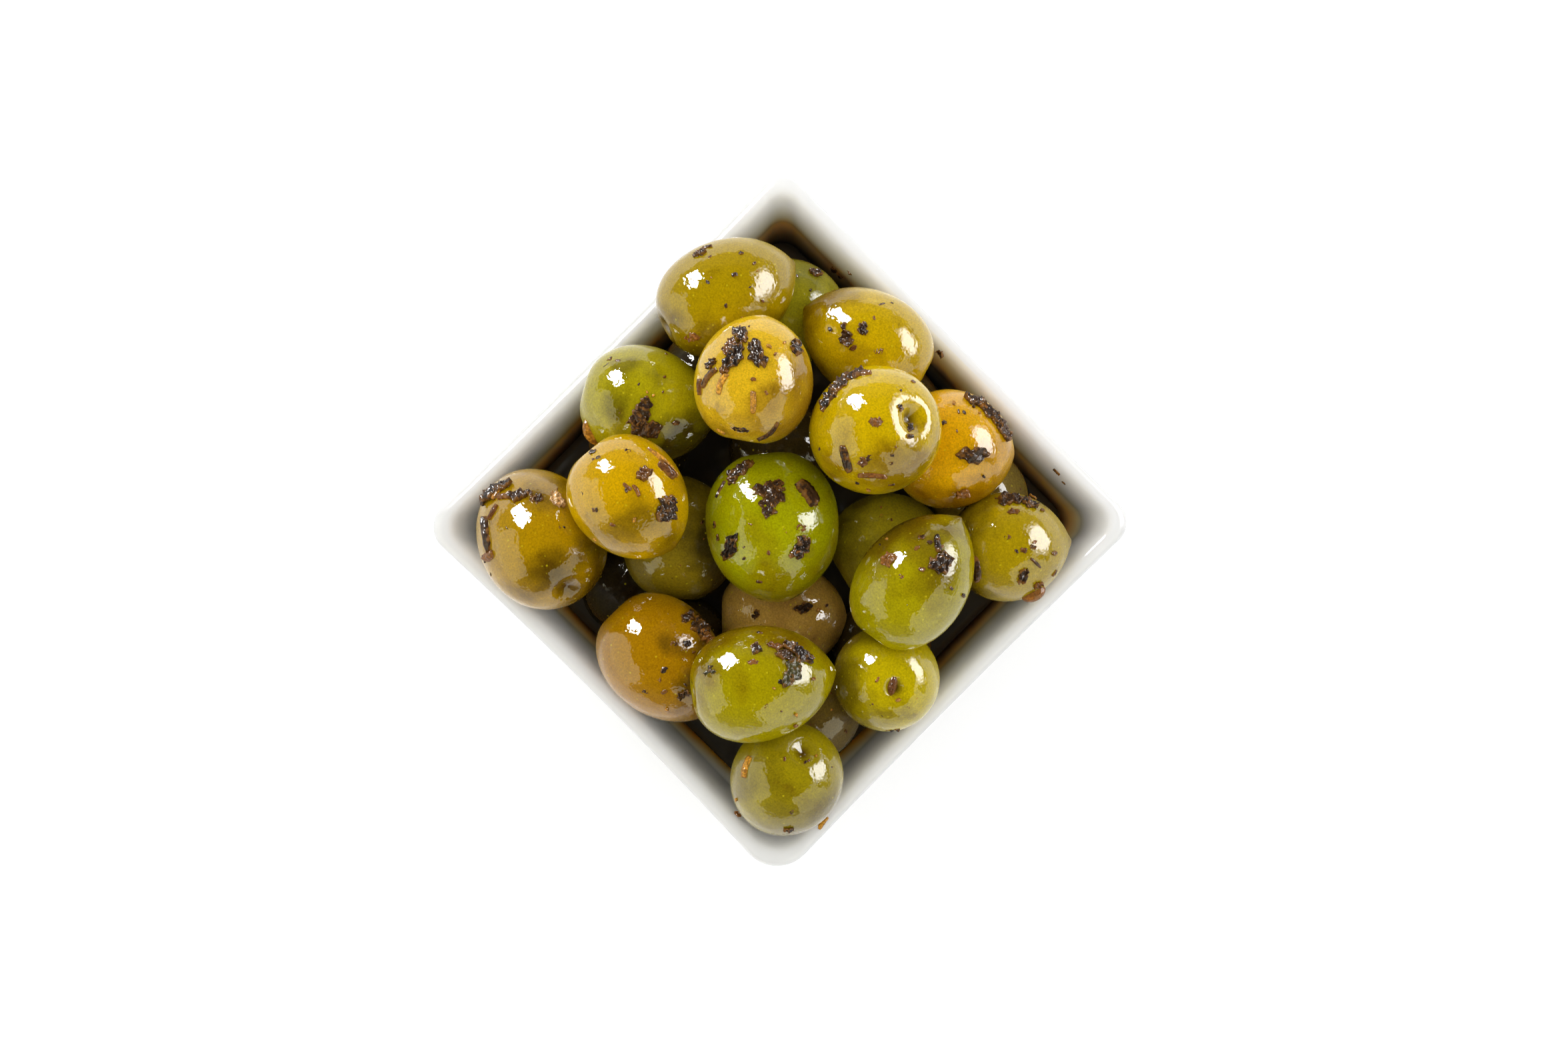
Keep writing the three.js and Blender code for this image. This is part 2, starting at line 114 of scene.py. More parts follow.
def loft(rings):
    """Points and faces of a closed solid through rings, from the middle of the first to that of the last."""
    count = len(rings[0])
    points = np.concatenate([[rings[0].mean(0)], *rings, [rings[-1].mean(0)]])
    i = np.arange(count)
    j = (i + 1) % count
    faces = [(0, 1 + b, 1 + a) for a, b in zip(i, j)]
    for ring in range(1, len(rings)):
        low, high = 1 + (ring - 1) * count, 1 + ring * count
        faces += [(low + a, low + b, high + b, high + a) for a, b in zip(i, j)]
    top = 1 + (len(rings) - 1) * count
    faces += [(top + a, top + b, len(points) - 1) for a, b in zip(i, j)]
    return points, faces


def piece(name, points, faces, material, stands_for):
    """A smooth mesh, from points in millimetres, in place of the nodes it stands for."""
    mesh = bpy.data.meshes.new(name)
    mesh.from_pydata((np.asarray(points) * MM).tolist(), [], [tuple(map(int, f)) for f in faces])
    mesh.shade_smooth()
    mesh.materials.append(material)
    made = bpy.data.objects.new(name, mesh)
    bpy.context.scene.collection.objects.link(made)
    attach(made, "root")
    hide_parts(*stands_for)
    return made


def store(made, attributes):
    """Stores named values on a piece's points, for its finish to read."""
    for name, kind, key, values in attributes:
        layer = made.data.attributes.new(name, kind, "POINT")
        layer.data.foreach_set(key, np.asarray(values, np.float32).ravel())


def linear(colour):
    """An sRGB hex colour as linear red, green, blue and full alpha."""
    parts = [int(colour[k : k + 2], 16) / 255 for k in (1, 3, 5)]
    return [c / 12.92 if c <= 0.04045 else ((c + 0.055) / 1.055) ** 2.4 for c in parts] + [1.0]


def new_material(name):
    material = bpy.data.materials.new(name)
    material.use_nodes = True
    material.node_tree.nodes.clear()
    return material, material.node_tree


def add(tree, kind, inputs=None, **settings):
    """Adds a shader node of that kind; an input is a value, an output, or a node's first output."""
    made = tree.nodes.new(f"ShaderNode{kind}")
    for key, value in settings.items():
        setattr(made, key, value)
    for key, value in (inputs or {}).items():
        if isinstance(value, bpy.types.Node):
            value = value.outputs[0]
        if isinstance(value, bpy.types.NodeSocket):
            tree.links.new(value, made.inputs[key])
        else:
            made.inputs[key].default_value = value
    return made


# Glazed porcelain: a clear feldspar glaze over a fine white body, smooth enough to mirror a window, with
# the faint orange peel of a dipped glaze. Light seeps a few millimetres through the body, so its thin rim
# glows softly. Inside, painted shade with a warm oily tint darkens it from near the rim down, ever darker.
PORCELAIN = "#eaeae8"
SHADE_TINTS = ((0.2, "#eae6d8"), (0.45, "#e8d2a0"), (0.7, "#b09a6e"))  # how deep, colour
FULL_SHADE = "#5a5a5c"
SHADE_START_Z, SHADE_FULL_Z = 46.0, 19.0  # heights at which the painted shade starts and is full
SHADE_UP = (0.09, -0.13, 1.0)  # the way up through the painted shade, which starts higher towards -X and +Y
CORNER_DROP = 15.0  # how much lower the painted shade starts in the corners, which the olives don't touch
PATCH_MM, PATCH_RISE = 9.0, 4.0  # size of its uneven patches, and how far they shift its edge
PEEL_MM, PEEL_HIGH = 3.5, 0.05  # spacing and height of the orange peel
CLEAN, SMEARED = 0.08, 0.22  # roughness where the glaze is clean and where it is smeared
SEEP_MM = 5.0  # how far light seeps through the body
glaze, tree = new_material("glazed_porcelain")
place = add(tree, "NewGeometry").outputs["Position"]
height = add(tree, "VectorMath", {0: place, 1: SHADE_UP}, operation="DOT_PRODUCT").outputs["Value"]
sides = add(tree, "SeparateXYZ", {0: place})
cornered = add(tree, "Math", {0: sides.outputs["X"], 1: sides.outputs["Y"]}, operation="MULTIPLY")
cornered = add(tree, "Math", {0: cornered}, operation="ABSOLUTE")
drop = CORNER_DROP / (RIM_X / 2 * RIM_Y / 2 * MM)
dropped = add(tree, "Math", {0: cornered, 1: drop, 2: height}, operation="MULTIPLY_ADD")
patchy = add(tree, "TexNoise", {"Vector": place, "Scale": 1 / (PATCH_MM * MM), "Detail": 4.0})
lifted = add(
    tree,
    "Math",
    {0: patchy.outputs["Fac"], 1: PATCH_RISE * MM, 2: dropped},
    operation="MULTIPLY_ADD",
)
lift = PATCH_RISE / 2
# Painted shade: the inside wall is coloured ever darker with depth, in place of the shade in the deep dish.
depth = add(tree, "MapRange", {0: lifted, 1: (SHADE_START_Z + lift) * MM, 2: (SHADE_FULL_Z + lift) * MM})
painted_shade = add(tree, "ValToRGB", {0: depth})
painted_shade.color_ramp.elements[0].color = linear(PORCELAIN)
painted_shade.color_ramp.elements[1].color = linear(FULL_SHADE)
for at, oiled in SHADE_TINTS:
    painted_shade.color_ramp.elements.new(at).color = linear(oiled)
inside = add(tree, "Attribute", attribute_name="inside").outputs["Fac"]
colour = add(tree, "Mix", {0: inside, 6: linear(PORCELAIN), 7: painted_shade}, data_type="RGBA")
peel = add(tree, "TexNoise", {"Vector": place, "Scale": 1 / (PEEL_MM * MM), "Detail": 1.0})
ripple = add(tree, "Bump", {"Height": peel.outputs["Fac"], "Strength": 0.15, "Distance": PEEL_HIGH * MM})
smear = add(tree, "MapRange", {0: patchy.outputs["Fac"], 3: CLEAN, 4: SMEARED})
shader = add(
    tree,
    "BsdfPrincipled",
    {
        "Base Color": colour.outputs[2],
        "Roughness": smear,
        "IOR": 1.52,
        "Subsurface Weight": 0.8,
        "Subsurface Radius": (1.0, 1.0, 1.0),
        "Subsurface Scale": SEEP_MM * MM,
        "Normal": ripple,
    },
)
add(tree, "OutputMaterial", {0: shader})

# Bare porcelain: the wiped foot ring, fired without glaze, dull and slightly grey like fine plaster.
GRIT_MM, GRIT_HIGH = 0.35, 0.05
bare, tree = new_material("unglazed_porcelain")
place = add(tree, "NewGeometry").outputs["Position"]
grit = add(tree, "TexNoise", {"Vector": place, "Scale": 1 / (GRIT_MM * MM), "Detail": 3.0})
worn = add(tree, "ValToRGB", {0: grit.outputs["Fac"]})
worn.color_ramp.elements[0].color = linear("#b9b3a8")
worn.color_ramp.elements[1].color = linear("#dcd8cf")
rough = add(tree, "Bump", {"Height": grit.outputs["Fac"], "Strength": 0.4, "Distance": GRIT_HIGH * MM})
shader = add(
    tree,
    "BsdfPrincipled",
    {"Base Color": worn, "Roughness": 0.75, "Normal": rough},
)
add(tree, "OutputMaterial", {0: shader})

foot_inner = FOOT_INSET + FOOT_WIDTH
foot_ring = [
    outline(foot_inner + 2 * FOOT_BEVEL, RECESS_Z, FOOT_ROUND),
    outline(foot_inner + FOOT_BEVEL, FOOT_BEVEL, FOOT_ROUND),
    outline(foot_inner, 0, FOOT_ROUND),
    outline(FOOT_INSET + 2 * FOOT_BEVEL, 0, FOOT_ROUND),
    outline(FOOT_INSET + FOOT_BEVEL, FOOT_BEVEL, FOOT_ROUND),
]
outer_turn = turn_in(
    outer_inset(TURN_Z), TURN_Z, FOOT_INSET - outer_inset(TURN_Z), TURN_Z - FOOT_Z, FOOT_ROUND
)
outer_wall = [outline(outer_inset(z), z, outer_round(z)) for z in np.linspace(TURN_Z, LIP_Z, WALL_STEPS)]
quarter = np.arange(LIP_STEPS) / LIP_STEPS * math.pi / 2
lip = [outline(LIP * (1 - math.cos(a)), LIP_Z + LIP * math.sin(a), 1) for a in quarter[1:]]
soft_edge = []
for angle in quarter:
    z = SOFT_EDGE_Z + (HEIGHT - SOFT_EDGE_Z) * math.cos(angle)
    rounding = 1 + (inner_round(z) - 1) * min(angle / SHARPENED, 1)
    soft_edge.append(outline(soft_inset(z), z, rounding))
inner_wall = [
    outline(inner_inset(z), z, inner_round(z)) for z in np.linspace(SOFT_EDGE_Z, INNER_TURN_Z, WALL_STEPS)
]
inner_turn = turn_in(
    inner_inset(INNER_TURN_Z), INNER_TURN_Z, INNER_TURN, INNER_TURN_Z - FLOOR_Z, FLOOR_ROUND
)
outer_rings = [*foot_ring, *outer_turn[::-1], *outer_wall, *lip]
points, faces = loft([*outer_rings, *soft_edge, *inner_wall, *inner_turn])
dish = piece("dish", points, faces, glaze, ["bowl"])
dish.data.materials.append(bare)
for face in dish.data.polygons:
    if face.center.z < BARE_TO * MM:
        face.material_index = 1
        face.use_smooth = False
is_inside = np.arange(len(points)) > len(outer_rings) * len(outer_rings[0])
store(dish, [("inside", "FLOAT", "value", is_inside)])

# ---------------------------------------------------------------- the olives
# Large green table olives, whole and unpitted, cured in brine and tossed in oil. Each has a dimple where
# its stem was and a small point at the other end. They lie where they fell, resting on each other.
# [across, away, length, width, heading, lift, skin, blush, side]: "across" runs from the dish's corner at
# -X,-Y to that at +X,+Y and "away" from +X,-Y to -X,+Y. The skin is browned to the colour blush on one
# side, given in degrees anticlockwise from across; mostly the side away from the light or against a
# neighbour, so that browning is partly painted shade. Those under the others are painted dark as shade.
OLIVES = {
    "lowLeft": (-16.0, -2.7, 20.3, 18.4, 85, 0, "#9c8418", "#4a3c14", -20),
    "lowFront": (0.2, -14.8, 20.4, 17.7, 0, 0, "#c89c44", "#a07434", -90),
    "lowRight": (17.2, -3.7, 18.7, 18.0, 30, 0, "#c4b020", "#8a7818", 180),
    "backLeft": (-8.5, 35.9, 22.9, 18.1, 27, -10, "#b49604", "#685004", -90),
    "backRight": (14.0, 28.6, 21.7, 17.1, 151, 0, "#d0ac04", "#8c6c04", 180),
    "left": (-21.2, 18.9, 21.7, 18.5, -17, 0, "#b4a60c", "#4a3e0a", -60),
    "leftCorner": (-38.0, -2.0, 24.5, 20.1, 120, -35, "#ba9004", "#644a04", 0),
    "frontLeft": (-18.6, -21.2, 22.8, 18.2, -45, 0, "#b28004", "#3e2c0a", -20),
    "frontCorner": (0.9, -40.4, 21.0, 17.6, -120, -54, "#a4920c", "#7c6a0c", -90),
    "front": (16.8, -24.2, 20.0, 16.8, 132, -78, "#ceb806", "#86740a", 180),
    "rightCorner": (36.2, -3.5, 18.5, 17.5, 5, 0, "#b89c0a", "#604c0a", 160),
    "right": (27.2, 11.9, 19.6, 19.0, -5, 0, "#ecb008", "#a87404", -90),
    "centre": (-1.2, 0.0, 24.2, 21.3, -84, 0, "#b0ae04", "#9c8c04", -90),
    "topRight": (14.7, 14.6, 22.0, 20.1, 197, -50, "#dcb804", "#a07e04", -90),
    "topBack": (-4.0, 22.2, 20.2, 18.7, 80, 0, "#eec020", "#b08618", -45),
    "topLeft": (-23.4, 4.3, 20.7, 17.8, -50, 0, "#dcac04", "#987606", -90),
    "topFrontRight": (20.9, -8.9, 23.0, 17.4, 54, 0, "#b0a206", "#786008", 90),
    "topFront": (-3.1, -24.7, 22.7, 18.2, 9, -8, "#ae9e04", "#886c04", 90),
}
CARRIERS = {
    "lowCorner": (4.6, -30.2, 17.5, 16.3, 20, 0, "#80682a", "#5c4820", -90),
    "lowBack": (2.2, 34.2, 17.8, 16.7, -20, 0, "#bcb01c", "#8c8414", 90),
    "lowWall": (32.4, 4.0, 16.7, 15.7, -60, 0, "#8c7424", "#665020", -90),
    # The olives under the others are painted dark brown as shade deep in the gaps, not in their own colour.
    "underFront": (-15.6, -19.8, 17.0, 16.0, -45, 0, "#44361a", "#2c2212", 0),
    "underLeftCorner": (-35.0, -0.5, 17.0, 16.0, 45, 0, "#44361a", "#2c2212", 0),
    "underFrontLeft": (-24.7, -10.7, 15.5, 15.0, -45, 0, "#3a2e1a", "#281e12", 0),
    "underLeft": (-22.5, 13.0, 17.0, 16.0, 45, 0, "#44361a", "#2c2212", 0),
    "underBackLeft": (-10.8, 24.5, 17.0, 16.0, 45, 0, "#44361a", "#2c2212", 0),
    "underBack": (0.5, 12.0, 19.0, 17.0, 10, 0, "#44361a", "#2c2212", 0),
    "underBackRight": (18.2, 18.2, 17.0, 16.0, -45, 0, "#44361a", "#2c2212", 0),
    "underRight": (16.5, -19.0, 17.0, 16.0, 45, 0, "#44361a", "#2c2212", 0),
}
GAP = 0.35  # left between an olive and the dish
PRESS, CARRIER_PRESS = 0.45, 1.2  # how far the olives press into each other, and those below into them
CORE_TOP, CORE_FALL, CORE_PRESS = 31.0, 5 / 37**2, 1.5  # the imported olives' top, its fall, and its give
START_HIGH, START_LOW = 90.0, 27.0  # from where the olives drop, and the ones that carry them rise
FIRST_STEP, LAST_STEP, FINER = 2.0, 0.02, 4
DIRECTION_COUNT = 400
TOUCHING = 26.0  # olives whose middles are further apart can't touch
ROOT_HALF = math.sqrt(0.5)
ON_CORNER = 45  # degrees from +X to across, because the dish is served standing on its corner


def in_dish(across, away, z=0.0):
    """A place given by across and away, in the dish's own frame."""
    return np.array([(across - away) * ROOT_HALF, (across + away) * ROOT_HALF, z])


def core_top(x, y):
    return CORE_TOP - CORE_FALL * (x * x + y * y)


order = np.arange(DIRECTION_COUNT) + 0.5
polar = np.arccos(1 - 2 * order / DIRECTION_COUNT)
spin = math.pi * (1 + math.sqrt(5)) * order
DIRECTIONS = np.stack([np.sin(polar) * np.sin(spin), np.cos(polar), np.sin(polar) * np.cos(spin)], 1)


def to_rectangle(p, half_x, half_y, radius):
    """Distance in plan from points to a rectangle with rounded corners, negative inside it."""
    x, y = abs(p[:, 0]) - (half_x - radius), abs(p[:, 1]) - (half_y - radius)
    return np.hypot(np.maximum(x, 0), np.maximum(y, 0)) + np.minimum(np.maximum(x, y), 0) - radius


def to_dish(p):
    """Distance from points to the dish's rim, or lower down to its inner wall."""
    x, y, z = p.T
    corner = np.array(CORNER_RADII)[np.where(y > 0, np.where(x > 0, 0, 1), np.where(x > 0, 3, 2))]
    bows = np.array(SIDE_BOWS)
    half_x = RIM_X / 2 - bows[np.where(x > 0, 3, 1)] * (1 - (y / (RIM_Y / 2)) ** 2)
    half_y = RIM_Y / 2 - bows[np.where(y > 0, 0, 2)] * (1 - (x / (RIM_X / 2)) ** 2)
    flat = to_rectangle(p, half_x - LIP, half_y - LIP, corner - LIP)
    over = np.hypot(flat, z - LIP_Z) - LIP
    inset = inner_inset(z)
    below = -to_rectangle(p, half_x - inset, half_y - inset, corner * inner_round(z))
    return np.where(z > LIP_Z, over, below)


def rotation(axis, degrees):
    c, s = math.cos(math.radians(degrees)), math.sin(math.radians(degrees))
    if axis == "Y":
        return np.array([[c, 0, s], [0, 1, 0], [-s, 0, c]])
    return np.array([[c, -s, 0], [s, c, 0], [0, 0, 1]])


def ellipsoid(row, z):
    """An olive's middle, half sizes and turn, with its tip along its own +Y."""
    across, away, length, width, heading, lift = row[:6]
    turn = rotation("Z", heading + ON_CORNER) @ rotation("Y", -lift) @ rotation("Z", -90)
    half = np.array([width / 2, length / 2, width / 2])
    return {"centre": in_dish(across, away, z), "half": half, "turn": turn}


def skin_of(olive):
    return (DIRECTIONS * olive["half"]) @ olive["turn"].T + olive["centre"]


def depth_in(olive, p):
    """How far out points lie in an olive: 0 at its middle, 1 at its skin."""
    return np.linalg.norm((p - olive["centre"]) @ olive["turn"] / olive["half"], axis=1)


def blocked(olive, placed, press):
    """Whether an olive would sit in the dish or too far in another olive."""
    shell = skin_of(olive)
    if to_dish(shell).min() < GAP:
        return True
    pressed = 1 - press / olive["half"][0]
    near = [o for o in placed if np.linalg.norm(o["centre"] - olive["centre"]) < TOUCHING]
    return any(
        depth_in(other, shell).min() < pressed or depth_in(olive, skin_of(other)).min() < pressed
        for other in near
    )


def in_core(olive):
    x, y, z = skin_of(olive).T
    return bool((z < core_top(x, y) - CORE_PRESS).any())


def settle(olive, direction, stopped):
    """Moves an olive up or down in ever finer steps until it is stopped."""
    step = FIRST_STEP
    while step > LAST_STEP:
        while not stopped(olive):
            olive["centre"][2] += direction * step
        olive["centre"][2] -= direction * step
        step /= FINER


heap = {}
for name, row in OLIVES.items():
    placed = list(heap.values())
    heap[name] = ellipsoid(row, START_HIGH)
    settle(heap[name], -1, lambda olive: in_core(olive) or blocked(olive, placed, PRESS))
for name, row in CARRIERS.items():
    placed = list(heap.values())
    heap[name] = ellipsoid(row, START_LOW)
    settle(heap[name], 1, lambda olive: blocked(olive, placed, CARRIER_PRESS))

# Olive skin: a thin waxy skin over soft flesh, wet with oil. The oil gives hard window-like reflections,
# the flesh a soft glow, and the skin its fine pale pores, mottled green to gold, and brown bruises.
MOTTLE_MM, BRUISE_MM, PORE_MM, GRAIN_MM, WAVE_MM, FILM_MM = 9.0, 4.5, 1.7, 0.28, 2.6, 0.8
GRAIN_HIGH, WAVE_HIGH, FILM_HIGH = 0.03, 0.12, 0.06
BRUISE, PORE, SCAR = "#6a4606", "#dccc20", "#4a3008"
SHADED_SIDE_PULL = 0.2  # how much of the browning is by side, painted shade as well as browning, and not by mottling
BROWN_FROM, BROWN_FULL = 0.48, 0.72
BRUISE_FROM, BRUISE_FULL, BRUISE_MOST = 0.60, 0.76, 0.5
GRAIN_FROM, GRAIN_TO, GRAIN_DARK, GRAIN_LIGHT = 0.25, 0.75, 0.6, 1.05
PORE_CORE, PORE_EDGE, PORE_MOST = 0.05, 0.13, 0.5  # radii as parts of the spacing, and strength
skin, tree = new_material("oiled_olive_skin")
own = add(tree, "Attribute", attribute_name="own").outputs["Vector"]
main = add(tree, "Attribute", attribute_name="skin").outputs["Color"]
second = add(tree, "Attribute", attribute_name="blush").outputs["Color"]
browning_and_shade = add(tree, "Attribute", attribute_name="browning_and_shade").outputs["Fac"]
scar = add(tree, "Attribute", attribute_name="scar").outputs["Fac"]
mottle = add(tree, "TexNoise", {"Vector": own, "Scale": 1 / MOTTLE_MM, "Detail": 2.5, "Roughness": 0.5})
# Browning by side is partly painted shade, on the side turned from the light; the mottling is the skin's
# own.
sided = add(tree, "Math", {0: browning_and_shade, 1: SHADED_SIDE_PULL, 2: mottle.outputs["Fac"]}, operation="MULTIPLY_ADD")
patch = add(tree, "MapRange", {0: sided, 1: BROWN_FROM, 2: BROWN_FULL})
flesh = add(tree, "Mix", {0: patch, 6: main, 7: second}, data_type="RGBA")
bruises = add(tree, "TexNoise", {"Vector": own, "Scale": 1 / BRUISE_MM, "Detail": 6.0, "Roughness": 0.65})
bruised = add(
    tree, "MapRange", {0: bruises.outputs["Fac"], 1: BRUISE_FROM, 2: BRUISE_FULL, 4: BRUISE_MOST}
)
flesh = add(
    tree, "Mix", {0: bruised, 6: flesh.outputs[2], 7: linear(BRUISE)}, data_type="RGBA"
)
grain = add(tree, "TexNoise", {"Vector": own, "Scale": 1 / GRAIN_MM, "Detail": 2.0})
grained = add(
    tree,
    "MapRange",
    {0: grain.outputs["Fac"], 1: GRAIN_FROM, 2: GRAIN_TO, 3: GRAIN_DARK, 4: GRAIN_LIGHT},
)
flesh = add(
    tree,
    "Mix",
    {0: 1.0, 6: flesh.outputs[2], 7: grained},
    data_type="RGBA",
    blend_type="MULTIPLY",
)
pores = add(tree, "TexVoronoi", {"Vector": own, "Scale": 1 / PORE_MM, "Randomness": 1.0})
pore = add(
    tree, "MapRange", {0: pores.outputs["Distance"], 1: PORE_CORE, 2: PORE_EDGE, 3: PORE_MOST, 4: 0.0}
)
flesh = add(tree, "Mix", {0: pore, 6: flesh.outputs[2], 7: linear(PORE)}, data_type="RGBA")
flesh = add(tree, "Mix", {0: scar, 6: flesh.outputs[2], 7: linear(SCAR)}, data_type="RGBA")
wave = add(tree, "TexNoise", {"Vector": own, "Scale": 1 / WAVE_MM, "Detail": 0.0})
film = add(tree, "TexNoise", {"Vector": own, "Scale": 1 / FILM_MM, "Detail": 1.0})
wave_bump = add(tree, "Bump", {"Height": wave.outputs["Fac"], "Strength": 1.0, "Distance": WAVE_HIGH * MM})
film_bump = add(
    tree,
    "Bump",
    {
        "Height": film.outputs["Fac"],
        "Strength": 1.0,
        "Distance": FILM_HIGH * MM,
        "Normal": wave_bump,
    },
)
grain_bump = add(
    tree,
    "Bump",
    {
        "Height": grain.outputs["Fac"],
        "Strength": 0.25,
        "Distance": GRAIN_HIGH * MM,
        "Normal": wave_bump,
    },
)
shader = add(
    tree,
    "BsdfPrincipled",
    {
        "Base Color": flesh.outputs[2],
        "Roughness": 0.45,
        "IOR": 1.45,
        "Specular IOR Level": 0.0,
        "Subsurface Weight": 0.3,
        "Subsurface Radius": (1.0, 0.7, 0.1),
        "Subsurface Scale": 2.0 * MM,
        "Coat Weight": 1.0,
        "Coat Roughness": 0.015,
        "Coat IOR": 1.6,
        "Normal": grain_bump,
        "Coat Normal": film_bump,
    },
)
add(tree, "OutputMaterial", {0: shader})

# Each olive is turned about its long axis, fuller at the stem, and a little out of round.
rng = np.random.default_rng(7)
SHOWN_GRID, HIDDEN_GRID = (70, 56), (32, 24)
FULLNESS, FULLNESS_SPREAD = 0.05, (-0.02, 0.025)
LUMP, LUMP_WAVES, LUMP_FINENESS = 0.012, 4, 0.16
CROWDING = 0.62  # how much closer the rings lie near the stem and the tip
PATTERN_SHIFT = 500.0  # how far the olives' patterns are shifted, so that no two are alike
HOLLOW, HOLE, POINT, NIB = (0.5, 24.0), (0.9, 10.0), (0.5, 19.0), (0.25, 6.0)  # size, reach in degrees
STEMS = {"topRight": 2.2, "leftCorner": 1.2, "front": 1.2}  # how deep the dimple is, otherwise 1
TIPS = {"topFrontRight": 1.4, "topFront": 1.2, "backLeft": 1.2, "backRight": 1.0, "rightCorner": 1.0}
BLUNT = 0.35  # the tip of all others
STEM_SCAR, TIP_SCAR = (1.0, 7.0), (0.45, 14.0)  # how brown, reach in degrees


def bell(degrees, size_reach):
    return size_reach[0] * np.exp(-((degrees / size_reach[1]) ** 2))


def dimple(name, from_stem):
    return STEMS.get(name, 1.0) * (bell(from_stem, HOLLOW) + bell(from_stem, HOLE))


def olive_mesh(name, grid):
    """Points, faces, own coordinates and scar depth of one olive."""
    olive = heap[name]
    around, along = grid
    s = np.arange(1, along) / along
    t = math.pi * (s - CROWDING * np.sin(2 * math.pi * s) / (2 * math.pi))
    from_stem, from_tip = np.degrees(t), 180 - np.degrees(t)
    fullness = FULLNESS + rng.uniform(*FULLNESS_SPREAD)
    radius = olive["half"][0] * np.sin(t) * (1 + fullness * np.cos(t))
    tip_size = TIPS.get(name, BLUNT)
    tip_rise = tip_size * (bell(from_tip, POINT) + bell(from_tip, NIB))
    y = -olive["half"][1] * np.cos(t) + dimple(name, from_stem) + tip_rise
    phi = 2 * math.pi * np.arange(around) / around
    own = np.stack(
        [radius[:, None] * np.cos(phi), np.repeat(y[:, None], around, 1), radius[:, None] * np.sin(phi)], 2
    ).reshape(-1, 3)
    stem = [0, -olive["half"][1] + dimple(name, 0), 0]
    tip = [0, olive["half"][1] + tip_size * (POINT[0] + NIB[0]), 0]
    own = np.concatenate([[stem], own, [tip]])
    waves = rng.normal(size=(LUMP_WAVES, 3)) * LUMP_FINENESS
    phases = rng.uniform(0, 2 * math.pi, LUMP_WAVES)
    own *= 1 + LUMP * np.sin(own @ waves.T + phases).sum(1, keepdims=True) / 2
    i = np.arange(around)
    j = (i + 1) % around
    faces = [(0, 1 + a, 1 + b) for a, b in zip(i, j)]
    for ring in range(along - 2):
        low, high = 1 + ring * around, 1 + (ring + 1) * around
        faces += [(low + a, high + a, high + b, low + b) for a, b in zip(i, j)]
    last = 1 + (along - 2) * around
    faces += [(last + a, len(own) - 1, last + b) for a, b in zip(i, j)]
    at_ends = bell(from_stem, STEM_SCAR) + tip_size * bell(from_tip, TIP_SCAR)
    scar = np.concatenate([[STEM_SCAR[0]], np.repeat(at_ends, around), [tip_size * TIP_SCAR[0]]])
    return own, faces, np.clip(scar, 0, 1)


all_points, all_faces, all_own, all_scars = [], [], [], []
all_skin, all_blush, all_browning_and_shade = [], [], []
for name, olive in heap.items():
    *_, main_colour, blush_colour, side = {**OLIVES, **CARRIERS}[name]
    grid = HIDDEN_GRID if name.startswith("under") else SHOWN_GRID
    own, faces, scar = olive_mesh(name, grid)
    start = sum(map(len, all_points))
    turned = own @ olive["turn"].T
    all_points.append(turned + olive["centre"])
    all_faces += [tuple(start + k for k in face) for face in faces]
    all_own.append(own + rng.uniform(-PATTERN_SHIFT, PATTERN_SHIFT, 3))
    all_scars.append(scar)
    all_skin.append(np.tile(linear(main_colour), (len(own), 1)))
    all_blush.append(np.tile(linear(blush_colour), (len(own), 1)))
    # The browned side, partly painted shade.
    shaded_way = in_dish(math.cos(math.radians(side)), math.sin(math.radians(side)))
    all_browning_and_shade.append(turned @ shaded_way / olive["half"][0])
olives = piece("green_olives", np.concatenate(all_points), all_faces, skin, ["olives"])
olive_values = [
    ("own", "FLOAT_VECTOR", "vector", np.concatenate(all_own)),
    ("scar", "FLOAT", "value", np.concatenate(all_scars)),
    ("browning_and_shade", "FLOAT", "value", np.concatenate(all_browning_and_shade)),
    ("skin", "FLOAT_COLOR", "color", np.concatenate(all_skin)),
    ("blush", "FLOAT_COLOR", "color", np.concatenate(all_blush)),
]
store(olives, olive_values)

# ---------------------------------------------------------------- the imported olives below
# Under the olives that show lie more of the same, packed to the walls, and painted dark as the shade
# among them. Only their rounded tops are made, as one lumpy mound.
CORE_RINGS, CORE_SIDE_Z, CORE_EDGE_Z = 30, 17.0, 20.0
CORE_HEART, CORE_SHARP = 1, 8  # how far from the middle the rings end, and start to lose their rounding
CORE_FADE = 4  # how far in from the edge the lumps reach their full depth
TOP_PITCH, ROW_PITCH, TOP_ROWS = 15.0, 0.87, 4  # rows are closer than the tops in them
TOP_RISE, TOP_REACH, TOP_JITTER = 3.0, 10, 1.5
CLOUD_MM, CLOUD_HIGH = 6, 0.2
below, tree = new_material("painted_shade_olives")
place = add(tree, "NewGeometry").outputs["Position"]
clouds = add(tree, "TexNoise", {"Vector": place, "Scale": 1 / (CLOUD_MM * MM), "Detail": 4.0})
# Painted shade: near black-grey for the shade among the packed olives, not their own colour.
dark = add(tree, "ValToRGB", {0: clouds.outputs["Fac"]})
dark.color_ramp.elements[0].color = linear("#302a22")
dark.color_ramp.elements[1].color = linear("#4c443a")
wet = add(tree, "Bump", {"Height": clouds.outputs["Fac"], "Strength": 0.4, "Distance": CLOUD_HIGH * MM})
shader = add(
    tree,
    "BsdfPrincipled",
    {"Base Color": dark, "Roughness": 0.2, "IOR": 1.47, "Normal": wet},
)
add(tree, "OutputMaterial", {0: shader})

